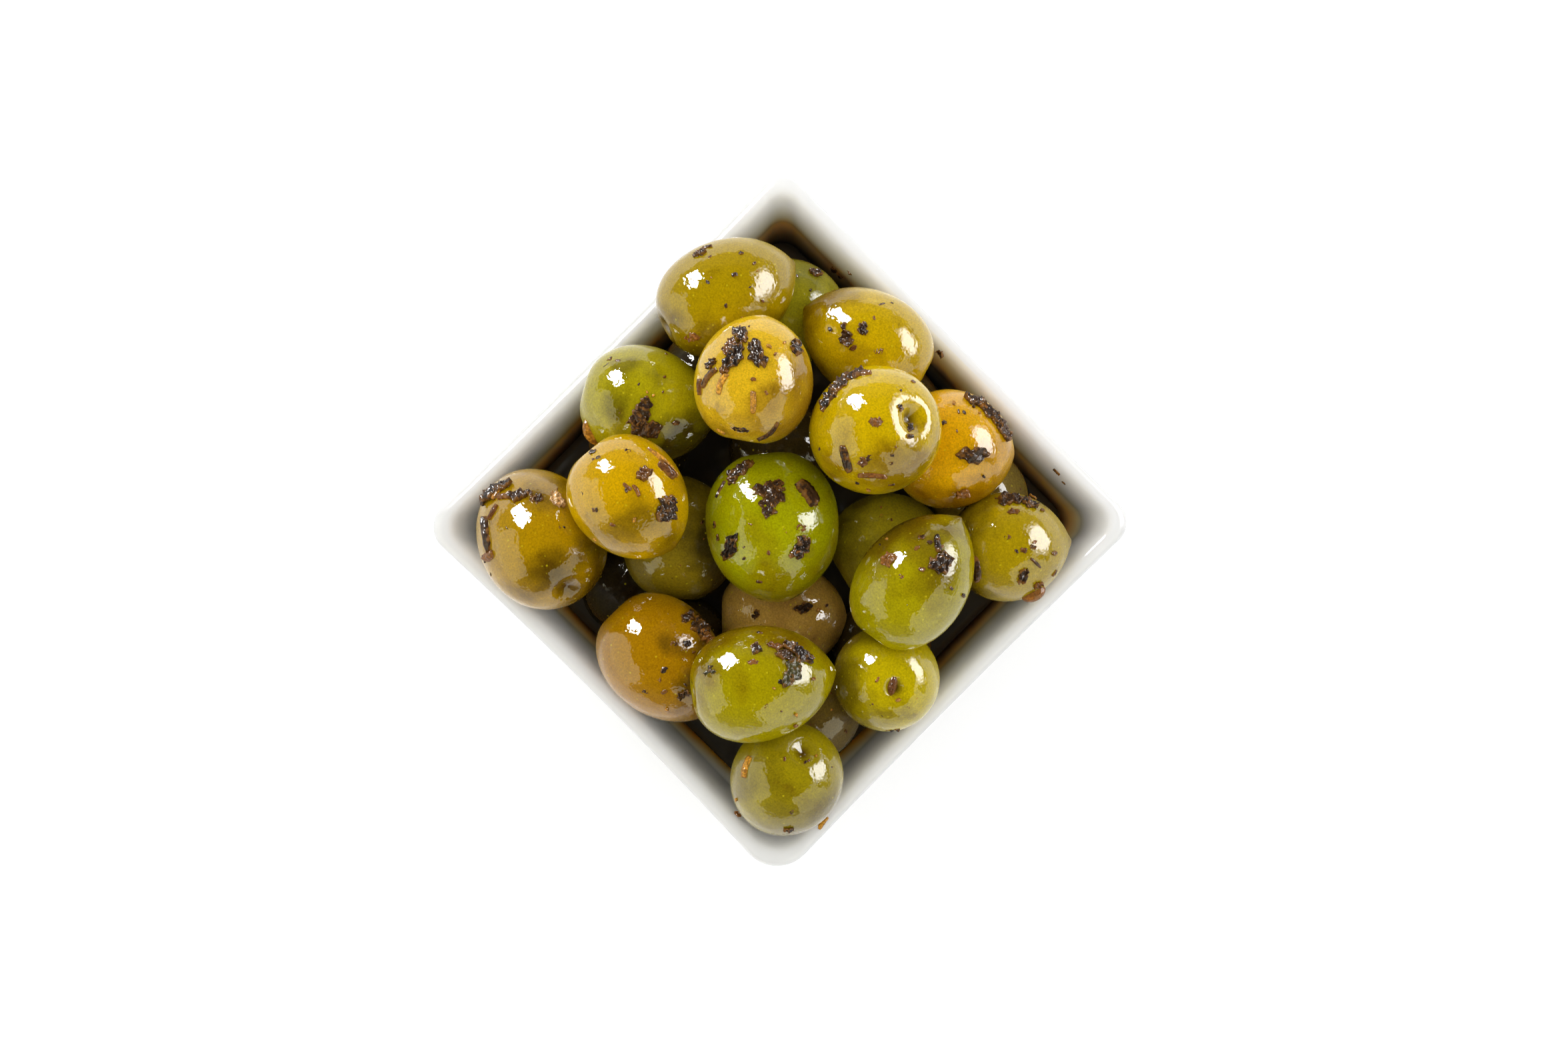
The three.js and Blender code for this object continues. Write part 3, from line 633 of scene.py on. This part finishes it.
base = turn_in(
    inner_inset(INNER_TURN_Z) + GAP, INNER_TURN_Z + GAP, INNER_TURN, INNER_TURN_Z - FLOOR_Z, FLOOR_ROUND
)
side = outline(inner_inset(CORE_SIDE_Z) + GAP, CORE_SIDE_Z, inner_round(CORE_SIDE_Z))
mound = []
rows = np.arange(-TOP_ROWS, TOP_ROWS + 1)
tops = [(TOP_PITCH * (k + 0.5 * (r % 2)), TOP_PITCH * ROW_PITCH * r) for r in rows for k in rows]
lattice = np.array(tops)
lattice += rng.uniform(-TOP_JITTER, TOP_JITTER, lattice.shape)
for inset in np.linspace(inner_inset(CORE_EDGE_Z) + GAP, RIM_X / 2 - CORE_HEART, CORE_RINGS):
    ring = outline(inset, 0, min(1.0, (RIM_X / 2 - inset) / CORE_SHARP))
    nearest = np.linalg.norm(ring[:, None, :2] - lattice, axis=2).min(1)
    fade = min(1.0, (inset - inner_inset(CORE_EDGE_Z)) / CORE_FADE)
    rise = TOP_RISE * (np.sqrt(np.maximum(1 - (nearest / TOP_REACH) ** 2, 0)) - 1)
    ring[:, 2] = core_top(ring[:, 0], ring[:, 1]) + rise * fade
    mound.append(ring)
points, faces = loft([*base[::-1], side, *mound])
piece("packed_olives", points, faces, below, ["olives"])

# ---------------------------------------------------------------- the dried herbs
# Rubbed leaves, stalks and seeds of dried herbs, steeped in the oil and stuck to the olives. A leaf is a
# crumpled sheet, a needle a leaf rolled along its length, a seed a smooth grain with a groove.
# [across, away, length, width, heading, what]: from the olive's middle, in millimetres and degrees. A
# row that doesn't say what it is is a dark leaf.
HERBS = {
    "lowBack": [(3.5, 6, 2, 1.5, 20)],
    "lowFront": [(3.5, 1.5, 3, 1.5, 10), (-4, 0.5, 1.5, 1, 60)],
    "backLeft": [
        (-4, 6.5, 2, 1.5, 20),
        (-5, -6.5, 2.5, 1.5, 20, "brown leaf"),
        (1.5, 3, 0.9, 0.7, 0),
        (2.5, 6.5, 0.7, 0.5, 0),
        (-3, 7.5, 2, 0.6, 10, "dark needle"),
    ],
    "backRight": [
        (-3.5, 0.5, 2.5, 2, 100),
        (-1, 2, 2, 1.5, 100),
        (1.5, -1.5, 1.5, 0.9, 10, "brown leaf"),
        (7, -2, 0.9, 0.7, 0),
        (2, 6, 1.2, 0.4, 40, "dark needle"),
        (-2.5, -1, 1.2, 0.8, 30, "brown leaf"),
        (-4, 2.5, 1.2, 0.8, 70),
    ],
    "left": [
        (0, -1, 4, 2.5, 80),
        (0.5, -4, 4.5, 3, 10),
        (-1, -2.5, 3, 2.5, 40),
        (-8.5, -4.5, 5, 2, 60, "gold seed"),
        (-5.5, 7, 1, 0.7, 0),
        (-6, 6, 1.2, 0.4, 30, "dark needle"),
        (5, -3, 1.2, 0.8, 0),
    ],
    "leftCorner": [
        (-7.5, 7, 4.5, 2.5, 20),
        (-5.5, 8, 3, 1.5, 30),
        (-3, 6.5, 3, 2, -10),
        (-8, 0.5, 6, 1.5, -60, "dark needle"),
        (-7.5, -3, 3, 1.5, 20, "brown needle"),
        (0, 6, 2, 1.5, 0),
        (-6.5, 7, 2.5, 0.7, 70, "gold needle"),
        (-7, 4, 2.7, 0.8, 60, "brown needle"),
        (-5, 6.5, 3, 0.9, -20, "brown needle"),
        (-1.5, 7, 1.5, 1, 0),
        (4, 1.5, 1, 0.8, 0),
        (3.2, 5.8, 3, 2, 100, "cream leaf"),
    ],
    "frontLeft": [
        (6, 5, 4, 3, 30),
        (4, 6.5, 3, 1.5, 50),
        (7, 3.5, 3, 2, -20, "brown leaf"),
        (2, 2.5, 1.2, 0.8, 0),
        (4, 2.5, 1.5, 1, 0),
        (0.5, -1.5, 1.2, 0.8, 40),
        (0.5, -5, 1, 0.6, 20, "brown leaf"),
        (-2.5, -5, 0.9, 0.6, 0),
        (3.5, -5.5, 2, 1.2, 40),
    ],
    "frontCorner": [
        (-6, 2.5, 3.5, 1.5, 70, "gold needle"),
        (0.5, -7.5, 1.5, 0.9, 0),
    ],
    "front": [
        (1, -1, 3.5, 1.5, 80, "brown seed"),
        (1, -8, 2, 0.9, 0),
        (-1.5, 0, 1, 0.5, 60, "brown leaf"),
    ],
    "rightCorner": [
        (0, 7.5, 3.5, 3, 20),
        (3, 7, 3, 2, -40),
        (2, -4.5, 2.5, 1.5, 80),
        (-5, -3.5, 4.5, 1.5, 80, "dark needle"),
        (4, 8, 1.2, 0.7, 60, "gold leaf"),
        (0.5, 5.5, 1.8, 0.9, 10, "brown leaf"),
        (-0.5, 1.5, 1, 0.7, 0),
        (2, -0.5, 1, 0.8, 0, "brown leaf"),
        (3.5, 0, 1, 0.7, 0),
        (4, -2.5, 2.5, 0.5, -40, "dark needle"),
        (4.5, -6, 1.4, 1.2, 0, "brown leaf"),
        (7, -1, 1, 0.7, 0),
        (7.2, -4.2, 1.2, 0.5, 50, "dark needle"),
        (4, -7.5, 4, 2, 30, "brown seed"),
    ],
    "right": [
        (3.5, 7.5, 3.5, 2, -30),
        (6, 5.5, 4, 2, -40),
        (8, 3, 3.5, 2, -60),
        (3, -1, 5, 2.5, 0),
        (1.5, -7, 2, 1.5, 10, "brown leaf"),
        (-1.5, 4, 0.8, 0.7, 0),
        (5, 6.5, 2.5, 1, -40, "brown needle"),
        (7, 4, 2, 1.2, -50),
    ],
    "centre": [
        (-5, 8.5, 4.5, 2.5, 30),
        (-0.5, 5.5, 4.5, 2.5, 10),
        (-0.5, 3, 4, 2.5, 80),
        (0.5, 4.2, 3, 2.5, 40),
        (5.5, 5, 4.5, 2.5, -50, "dark needle"),
        (6.2, 4, 2.5, 1, -40, "dark needle"),
        (-6.5, -3.5, 5, 2, 50),
        (4.5, -3.5, 3.5, 2.5, 60),
        (-6, 7, 2, 1.5, 40),
        (-8, 5.5, 3, 0.8, 60, "dark needle"),
        (4.5, -0.5, 1.5, 1, 0, "brown leaf"),
        (3.5, -4.5, 2, 0.8, 30, "brown needle"),
        (5.8, 6.5, 1, 0.4, 80, "gold needle"),
        (-9, 0, 1, 0.6, 90),
        (-8.5, -2, 1, 0.6, 90),
        (-2, -9, 0.9, 0.5, 0),
    ],
    "topRight": [
        (-7, 5, 4.5, 2.5, 60),
        (-4, 8, 5, 2.5, 30),
        (-5.5, 6.5, 3, 2, 45),
        (0, 1, 2, 1.5, 0, "brown leaf"),
        (-4.5, -4.5, 4.5, 1.5, 90, "dark needle"),
        (-0.5, -7, 4.5, 1, 0, "brown needle"),
        (-2, 8.5, 3, 1.3, -10, "brown needle"),
        (-2, -5, 1.8, 1.3, 60, "brown leaf"),
        (-1, -4.3, 1.2, 0.8, 60),
        (2.5, -4, 0.6, 0.6, 0),
        (2.3, -5.2, 0.7, 0.5, 0),
        (4, 3.5, 0.8, 0.7, 0),
        (4, 6, 0.4, 0.4, 0),
        (2.5, -8.5, 0.9, 0.4, 0),
        (6, 0.5, 1.5, 1, 60),
        (5.5, -1, 1, 0.8, 0),
    ],
    "topBack": [
        (-3, 3.5, 4.5, 2.5, 60),
        (-2, 7, 3.5, 2, 120),
        (-3.5, 5, 3, 2, 80, "brown leaf"),
        (0.5, 4, 4.5, 2.5, 110),
        (-7, 0.5, 4, 1, 30, "dark needle"),
        (-5, -0.5, 3.5, 1, 60, "gold needle"),
        (6.5, 5, 2.5, 2, 80),
        (0, -3.5, 3.5, 1, 90, "gold needle"),
        (-2, -7.5, 2.5, 1, 0),
        (2.5, -8, 4.5, 1, 70, "dark needle"),
        (-6.5, 2.5, 2, 1.2, 20),
        (-8.3, -1, 2.5, 1, 80, "brown needle"),
        (-4.5, 1.5, 1.5, 1.2, 0, "brown leaf"),
        (0, 0, 0.8, 0.6, 0, "brown leaf"),
        (-6, -6, 1.2, 0.6, 0, "brown leaf"),
        (-5, -7.8, 1.5, 0.7, 0, "gold needle"),
    ],
    "topLeft": [
        (2.5, 3.5, 2.5, 2, 30, "brown leaf"),
        (6, -2, 4, 3.5, 50),
        (6.5, -1, 2.5, 1.5, 60, "brown leaf"),
        (5.5, 5.5, 6.5, 1, -30, "gold needle"),
        (6, 4.2, 3.5, 1.5, -25, "brown needle"),
        (0, 7, 0.9, 0.7, 0),
        (-4.5, 6, 0.8, 0.6, 0),
        (0, 1.5, 1.6, 0.6, -40, "brown needle"),
        (1.5, 1, 2, 0.7, -60, "brown needle"),
        (-7, 0.5, 0.8, 0.6, 0),
        (-5, -2, 1.1, 0.7, 20),
        (-6, -1.8, 0.8, 0.3, 90, "dark needle"),
        (-5.5, 7, 1.2, 0.9, 0),
    ],
    "topFrontRight": [
        (3.5, 6, 3, 1, 90, "dark needle"),
        (-4, 3.5, 2.5, 2, 20, "brown leaf"),
        (4, 3, 4, 3, 20),
        (1, 7, 1, 0.7, 0),
        (2.3, 6.2, 0.9, 0.6, 0),
        (0.3, 5.3, 1, 0.5, 40, "brown leaf"),
        (1, 2, 1, 0.7, 0, "brown leaf"),
        (-6.2, -2.3, 0.9, 0.4, 0, "brown leaf"),
    ],
    "topFront": [
        (-0.5, 5.5, 2, 1.5, 80),
        (2.5, 6, 2.5, 1, 0, "brown leaf"),
        (6, 5, 5, 2, -20),
        (5, 2, 5, 2.5, 60, "sage leaf"),
        (4, 4.5, 3, 1.5, -20),
        (-7.5, 2, 2, 1.5, 0, "sage leaf"),
        (-1, 3.5, 1.6, 0.8, 0, "brown leaf"),
        (1, -3.2, 0.8, 0.4, 60, "brown leaf"),
        (0, 8, 0.9, 0.4, -30),
        (3.5, 0.5, 1.2, 0.8, 0),
    ],
}
TONES = {
    "dark": ("#1c1008", "#402812"),
    "brown": ("#5c3412", "#8c5820"),
    "gold": ("#a8701c", "#d89a30"),
    "cream": ("#c98f4e", "#e4bd84"),
    "sage": ("#2e2a10", "#4c4620"),
}
PLAIN = ["dark leaf"]
LEAF_THICK = 0.3
TOP_LEAST, UNDER_MOST = 0.05, 0.02  # how high a flake's top is at least, and its underside at most
SUNK = 0.05  # how far a flake sinks into the oil
HERB_SHIFT = 0.37  # how far the flakes' patterns are shifted for each point before them
EDGE_POWER = 4  # how close to its edge a flake counts as torn
LEAF_GRID, NEEDLE_GRID, SPECK_GRID = (16, 12), (14, 8), (5, 4)
SPECK_LENGTH = 1.3  # anything shorter is made with the faces of a speck


def on_skin(name, across, away):
    """The highest point of an olive over a place in plan, and the skin's normal there."""
    olive = heap[name]
    offset = in_dish(across, away)
    along = olive["turn"].T @ np.array([0.0, 0.0, 1.0]) / olive["half"]
    start = olive["turn"].T @ offset / olive["half"]
    a, b = along @ along, along @ start
    root = math.sqrt(max(b * b - a * (start @ start - 1), 0))
    offset[2] = (root - b) / a
    local = olive["turn"].T @ offset
    from_stem = math.degrees(math.acos(np.clip(-local[1] / olive["half"][1], -1, 1)))
    sunk = olive["turn"] @ np.array([0, 0.8 * dimple(name, from_stem), 0])
    normal = olive["turn"] @ (local / olive["half"] ** 2)
    return olive["centre"] + offset + sunk, normal / np.linalg.norm(normal)


def herb_sheet(length, width, form, grid):
    """Top and bottom of a flake as grids of (along, aside, up) in millimetres."""
    nu, nv = grid
    u = np.linspace(-1, 1, nu)[:, None] * np.ones(nv)
    v = np.linspace(-1, 1, nv)[None, :] * np.ones((nu, 1))
    if form == "leaf":  # sides torn by coarse and fine waves, ends narrower, and folds that cross
        side = np.sign(v)
        torn = 0.22 * np.sin(4 * u + 2 * side + rng.uniform(0, 6))
        torn = torn + 0.16 * np.sin(9 * u + 4 * side + rng.uniform(0, 6))
        torn = torn + 0.05 * rng.normal(size=(nu, nv))
        x = u * length / 2 * (1 + 0.14 * np.sin(3 * v + rng.uniform(0, 6)) * abs(u))
        y = v * width / 2 * (1 - 0.55 * abs(u) ** 2.6) * (1 + torn)
        waves = rng.normal(size=(4, 2)) * 2.8
        folds = [abs(np.sin(x * wx + y * wy + p)) for (wx, wy), p in zip(waves, rng.uniform(0, 6, 4))]
        up = 0.35 + 0.42 * (folds[0] + folds[1] - folds[2]) - 0.16 * folds[3]
        up += 0.045 * rng.normal(size=(nu, nv)) + 0.15 * u**2 * rng.uniform(-1, 2)
        up *= min(1.0, width / 1.8)
    elif form == "needle":  # a half round along its length, ribbed and a little bent
        x = u * length / 2
        bend = rng.uniform(-0.1, 0.1) * length
        y = v * width / 2 * (1 - 0.4 * abs(u) ** 5) * (1 + 0.06 * rng.normal(size=(nu, 1))) + bend * u**2
        ribs = 0.05 * np.cos(v * math.pi * 2.5)
        up = width * (0.55 * np.sqrt(np.maximum(1 - v * v, 0)) + ribs) + 0.03 * rng.normal(size=(nu, nv))
    else:  # a seed: an oval grain with one groove along its middle
        x = u * length / 2
        y = v * width / 2 * np.sqrt(np.maximum(1 - 0.96 * u * u, 0))
        groove = 0.12 * np.exp(-((v / 0.12) ** 2))
        up = width * (0.6 * np.sqrt(np.maximum(1 - 0.9 * u * u, 0) * np.maximum(1 - v * v, 0)) - groove)
    top = np.stack([x, y, np.maximum(up, TOP_LEAST)], 2)
    low = top - [0, 0, LEAF_THICK]
    low[..., 2] = np.minimum(low[..., 2], UNDER_MOST)
    return top, low


def sheet_faces(nu, nv, start):
    """Faces of a closed flake: its top grid, then its bottom grid."""
    at = start + np.arange(nu * nv).reshape(nu, nv)
    low = at + nu * nv
    faces = []
    for i in range(nu - 1):
        for j in range(nv - 1):
            faces.append((at[i, j], at[i + 1, j], at[i + 1, j + 1], at[i, j + 1]))
            faces.append((low[i, j], low[i, j + 1], low[i + 1, j + 1], low[i + 1, j]))
    loop = [(i, 0) for i in range(nu - 1)] + [(nu - 1, j) for j in range(nv - 1)]
    loop += [(i, nv - 1) for i in range(nu - 1, 0, -1)] + [(0, j) for j in range(nv - 1, 0, -1)]
    for k, spot in enumerate(loop):
        after = loop[(k + 1) % len(loop)]
        faces.append((at[spot], low[spot], low[after], at[after]))
    return faces


herb_points, herb_faces, herb_tones, herb_own, herb_torn = [], [], [], [], []


def lay_herb(point, normal, direction, radius, size, form, tone, grid):
    """Adds a flake that lies on a round skin of that radius."""
    aside = np.cross(normal, direction)
    aside /= np.linalg.norm(aside)
    ahead = np.cross(aside, normal)
    sheets = herb_sheet(size[0], size[1], form, grid)
    start = sum(map(len, herb_points))
    for local in sheets:
        x, y, up = local.reshape(-1, 3).T
        up = up - (x * x + y * y) / (2 * radius) - SUNK
        herb_points.append(point + np.outer(x, ahead) + np.outer(y, aside) + np.outer(up, normal))
        herb_own.append(np.stack([x, y, up], 1) + start * HERB_SHIFT)
    dark, light = (np.array(linear(c)) for c in TONES[tone])
    mixed = dark + (light - dark) * rng.uniform(0, 1)
    herb_tones.append(np.tile(mixed, (2 * grid[0] * grid[1], 1)))
    along, across = (abs(np.linspace(-1, 1, count)) for count in grid)
    from_middle = np.maximum(along[:, None], across)
    herb_torn.append(np.tile(from_middle.ravel() ** EDGE_POWER, 2))
    herb_faces.extend(sheet_faces(*grid, start))


for name, rows in HERBS.items():
    round_radius = heap[name]["half"][0]
    for across, away, length, width, heading, *what in rows:
        tone, form = (what or PLAIN)[0].split()
        point, normal = on_skin(name, across, away)
        direction = in_dish(math.cos(math.radians(heading)), math.sin(math.radians(heading)))
        grid = NEEDLE_GRID if form == "needle" else LEAF_GRID
        if length < SPECK_LENGTH:
            grid = SPECK_GRID
        lay_herb(point, normal, direction, round_radius, (length, width), form, tone, grid)

# Dust of the same herbs, too fine to place one by one: scattered over the tops of the olives that show.
SPECKS_EACH, SPECK_WIDTHS, SPECK_LONG = 11, (0.2, 0.55), 1.6
SPECK_REACH = 0.95  # how far out they lie on an olive, as a part of its radius
OLIVE_ROUND = 10.0  # the round of the skin that they lie on
for name, olive in heap.items():
    if name.startswith("under"):
        continue
    for _ in range(SPECKS_EACH):
        reach = SPECK_REACH * math.sqrt(rng.uniform(0, 1)) * olive["half"][0]
        way = rng.uniform(0, 2 * math.pi)
        point, normal = on_skin(name, reach * math.cos(way), reach * math.sin(way))
        size = rng.uniform(*SPECK_WIDTHS)
        direction = in_dish(math.cos(way), math.sin(way * 3))
        tone = rng.choice(["dark", "dark", "brown", "gold"])
        lay_herb(point, normal, direction, OLIVE_ROUND, (size * SPECK_LONG, size), "leaf", tone, SPECK_GRID)

# A few bits that missed the olives and stuck to the dish.
# [x, y, length, width, heading, what]: in the dish's own frame.
STRAYS = [
    (-22.4, 35.6, 2.2, 1.0, 0),
    (-20.6, 36.4, 1.0, 0.6, 40),
    (-1.2, 37.4, 1.3, 1.0, 20),
    (25.3, 37.2, 1.4, 0.5, 10, "dark needle"),
    (27.4, 36.8, 0.7, 0.5, 0),
    (27.9, -37.4, 1.2, 0.6, 10, "brown leaf"),
    (38.4, -28.7, 2.4, 0.8, 100, "gold needle"),
]
FLAT = 1000.0  # the round of a skin that is as good as flat
FALL_STEP, PROBE = 0.05, 0.1


def on_dish(x, y):
    """Where a thing that falls at a place in plan meets the dish, and the way the dish faces there."""
    z = np.arange(HEIGHT + 1, FLOOR_Z, -FALL_STEP)
    fall = np.column_stack([np.full(len(z), x), np.full(len(z), y), z])
    swell = np.where(z < LIP_Z, np.maximum(soft_inset(z) - inner_inset(z), 0), 0)
    point = fall[np.argmax(to_dish(fall) < swell)]
    steps = PROBE * np.eye(3)
    normal = to_dish(point + steps) - to_dish(point - steps)
    return point, normal / np.linalg.norm(normal)


for x, y, length, width, heading, *what in STRAYS:
    tone, form = (what or PLAIN)[0].split()
    point, normal = on_dish(x, y)
    direction = np.array([math.cos(math.radians(heading)), math.sin(math.radians(heading)), 0.0])
    lay_herb(point, normal, direction, FLAT, (length, width), form, tone, NEEDLE_GRID)

# Steeped herb: leaf and stalk soaked dark, wet enough with oil for many small glints on its crinkles,
# and paler brown along torn edges and where the leaf is worn thin.
VEIN_MM, CRINKLE_MM, CRINKLE_HIGH, WORN_MM = 0.4, 0.7, 0.3, 1.0
VEIN_FROM, VEIN_TO, VEIN_DARK, VEIN_LIGHT = 0.3, 0.7, 0.4, 1.8
WORN = "#8c5c20"
EDGE_PULL, WORN_FROM, WORN_FULL, WORN_MOST = 0.16, 0.54, 0.70, 0.8
herb, tree = new_material("oil_steeped_herb")
own = add(tree, "Attribute", attribute_name="own").outputs["Vector"]
tone = add(tree, "Attribute", attribute_name="tone").outputs["Color"]
torn = add(tree, "Attribute", attribute_name="torn").outputs["Fac"]
veins = add(tree, "TexNoise", {"Vector": own, "Scale": 1 / VEIN_MM, "Detail": 4.0, "Distortion": 0.6})
shade = add(
    tree,
    "MapRange",
    {0: veins.outputs["Fac"], 1: VEIN_FROM, 2: VEIN_TO, 3: VEIN_DARK, 4: VEIN_LIGHT},
)
colour = add(
    tree,
    "Mix",
    {0: 1.0, 6: tone, 7: shade},
    data_type="RGBA",
    blend_type="MULTIPLY",
)
thin = add(tree, "TexNoise", {"Vector": own, "Scale": 1 / WORN_MM, "Detail": 3.0})
at_edge = add(tree, "Math", {0: torn, 1: EDGE_PULL, 2: thin.outputs["Fac"]}, operation="MULTIPLY_ADD")
worn = add(tree, "MapRange", {0: at_edge, 1: WORN_FROM, 2: WORN_FULL, 4: WORN_MOST})
colour = add(tree, "Mix", {0: worn, 6: colour.outputs[2], 7: linear(WORN)}, data_type="RGBA")
crinkles = add(tree, "TexNoise", {"Vector": own, "Scale": 1 / CRINKLE_MM, "Detail": 0.0})
relief = add(
    tree, "Bump", {"Height": crinkles.outputs["Fac"], "Strength": 1.0, "Distance": CRINKLE_HIGH * MM}
)
shader = add(
    tree,
    "BsdfPrincipled",
    {
        "Base Color": colour.outputs[2],
        "Roughness": 0.6,
        "IOR": 1.5,
        "Specular IOR Level": 0.1,
        "Coat Weight": 0.4,
        "Coat Roughness": 0.04,
        "Coat IOR": 1.6,
        "Normal": relief,
        "Coat Normal": relief,
    },
)
add(tree, "OutputMaterial", {0: shader})
herbs = piece("herb_flakes", np.concatenate(herb_points), herb_faces, herb, ["olives"])
herb_values = [
    ("own", "FLOAT_VECTOR", "vector", np.concatenate(herb_own)),
    ("torn", "FLOAT", "value", np.concatenate(herb_torn)),
    ("tone", "FLOAT_COLOR", "color", np.concatenate(herb_tones)),
]
store(herbs, herb_values)

# ---------------------------------------------------------------- the floor
# A white sweep under the dish, plain and evenly lit. It gives off a little light of its own, as if lit
# from below, which keeps the dish's shadow off it.
FLOOR_HALF = 3.0
sweep, tree = new_material("white_sweep")
shader = add(
    tree,
    "BsdfPrincipled",
    {
        "Base Color": linear("#f4f4f4"),
        "Roughness": 0.9,
        "Emission Color": (1.0, 1.0, 1.0, 1.0),
        "Emission Strength": 0.25,
    },
)
add(tree, "OutputMaterial", {0: shader})
mesh = bpy.data.meshes.new("floor")
corners = [(-FLOOR_HALF, -FLOOR_HALF, 0), (FLOOR_HALF, -FLOOR_HALF, 0), (FLOOR_HALF, FLOOR_HALF, 0)]
mesh.from_pydata([*corners, (-FLOOR_HALF, FLOOR_HALF, 0)], [], [(0, 1, 2, 3)])
mesh.materials.append(sweep)
floor = bpy.data.objects.new("floor", mesh)
bpy.context.scene.collection.objects.link(floor)

# ---------------------------------------------------------------- the light
# A small bright softbox behind, a large soft one at the right that is brighter in its middle, and cream
# boards low at the left and right, all under a wide ceiling that isn't mirrored. Each is made as two
# lamps, one that only shows in gloss and one that only lights, so that glints and shading are set apart.
# Compass is anticlockwise from across; tilt is above the floor; distances and sizes are in metres.
LIGHTS = {  # compass, tilt, distance, width, height, radiance in a mirror, radiance as light, colour
    "key": (128, 27, 1.2, 0.36, 0.62, 60.0, 4.0, "#ffffff"),
    "soft": (16, 25, 1.0, 1.00, 0.60, 1.6, 0.8, "#ffffff"),
    "soft_middle": (16, 25, 0.95, 0.95, 0.72, 10.0, 3.4, "#ffffff"),
    "board_left": (194, 23, 0.8, 1.00, 0.68, 1.5, 1.2, "#fffcde"),
    "board_right": (-48, 23, 0.8, 0.80, 0.66, 1.5, 0.4, "#fffcde"),
    "ceiling": (100, 80, 1.2, 3.00, 3.00, 0.0, 1.35, "#ffffff"),
}
FADED = "soft_middle"  # the one that is brightest in its middle and fades to nothing at its edge
FADE_OUT, FADE_IN = 0.5, 0.25  # where it is dark and where it is full, as parts of its width
for name, (compass, tilt, distance, width, height, mirrored, lighting, colour) in LIGHTS.items():
    c, t = math.radians(compass + ON_CORNER), math.radians(tilt)
    level = distance * math.cos(t)
    for use, radiance in (("mirrored", mirrored), ("lighting", lighting)):
        if not radiance:
            continue
        light = bpy.data.lights.new(f"{name}_{use}", "AREA")
        light.shape = "RECTANGLE"
        light.size, light.size_y = width, height
        light.energy = radiance * width * height * math.pi
        light.color = linear(colour)[:3]
        if name == FADED and use == "mirrored":
            light.use_nodes = True
            tree = light.node_tree
            tree.nodes.clear()
            spot = add(tree, "NewGeometry").outputs["Parametric"]
            off_middle = add(tree, "VectorMath", {0: spot, 1: (0.5, 0.5, 0.0)}, operation="DISTANCE")
            fade = add(
                tree,
                "MapRange",
                {0: off_middle.outputs["Value"], 1: FADE_OUT, 2: FADE_IN},
                interpolation_type="SMOOTHERSTEP",
            )
            glow = add(tree, "Emission", {"Strength": fade})
            add(tree, "OutputLight", {0: glow})
        lamp = bpy.data.objects.new(light.name, light)
        bpy.context.scene.collection.objects.link(lamp)
        lamp.location = (level * math.cos(c), level * math.sin(c), distance * math.sin(t))
        lamp.rotation_euler = (math.pi / 2 - t, 0, c + math.pi / 2)
        lamp.visible_camera = False
        lamp.visible_glossy = use == "mirrored"
        lamp.visible_diffuse = use == "lighting"

# The room beyond them: pale up to the horizon and dim overhead.
ROOM_MIDDLE = ((0.25, 0.5), (0.55, 0.12))  # how far up, how bright
ROOM_LOW, ROOM_TOP, ROOM_LIGHT = 0.6, 0.03, 0.35
world = bpy.data.worlds.new("pale_room")
world.use_nodes = True
tree = world.node_tree
tree.nodes.clear()
way = add(tree, "TexCoord").outputs["Generated"]
up = add(tree, "SeparateXYZ", {0: way}).outputs["Z"]
room = add(tree, "ValToRGB", {0: up})
room.color_ramp.elements[0].color = (ROOM_LOW, ROOM_LOW, ROOM_LOW, 1.0)
room.color_ramp.elements[1].color = (ROOM_TOP, ROOM_TOP, ROOM_TOP, 1.0)
for at, grey in ROOM_MIDDLE:
    room.color_ramp.elements.new(at).color = (grey, grey, grey, 1.0)
sky = add(tree, "Background", {0: room, 1: ROOM_LIGHT})
add(tree, "OutputWorld", {0: sky})
bpy.context.scene.world = world
bpy.context.scene.view_settings.view_transform = "Standard"

# ---------------------------------------------------------------- the camera
# Straight above, with the dish standing on its corner.
SENSOR, LENS = 36.0, 98.1
CAMERA_Z = 725.0
AIM = (0.674, 0.329)  # across and away, beside the dish's middle
data = bpy.data.cameras.new("above")
data.sensor_width, data.lens = SENSOR, LENS
data.clip_start, data.clip_end = 0.01, 20.0
camera = bpy.data.objects.new("above", data)
bpy.context.scene.collection.objects.link(camera)
camera.location = in_dish(*AIM, CAMERA_Z) * MM
camera.rotation_euler = (0, 0, math.radians(ON_CORNER))
bpy.context.scene.camera = camera
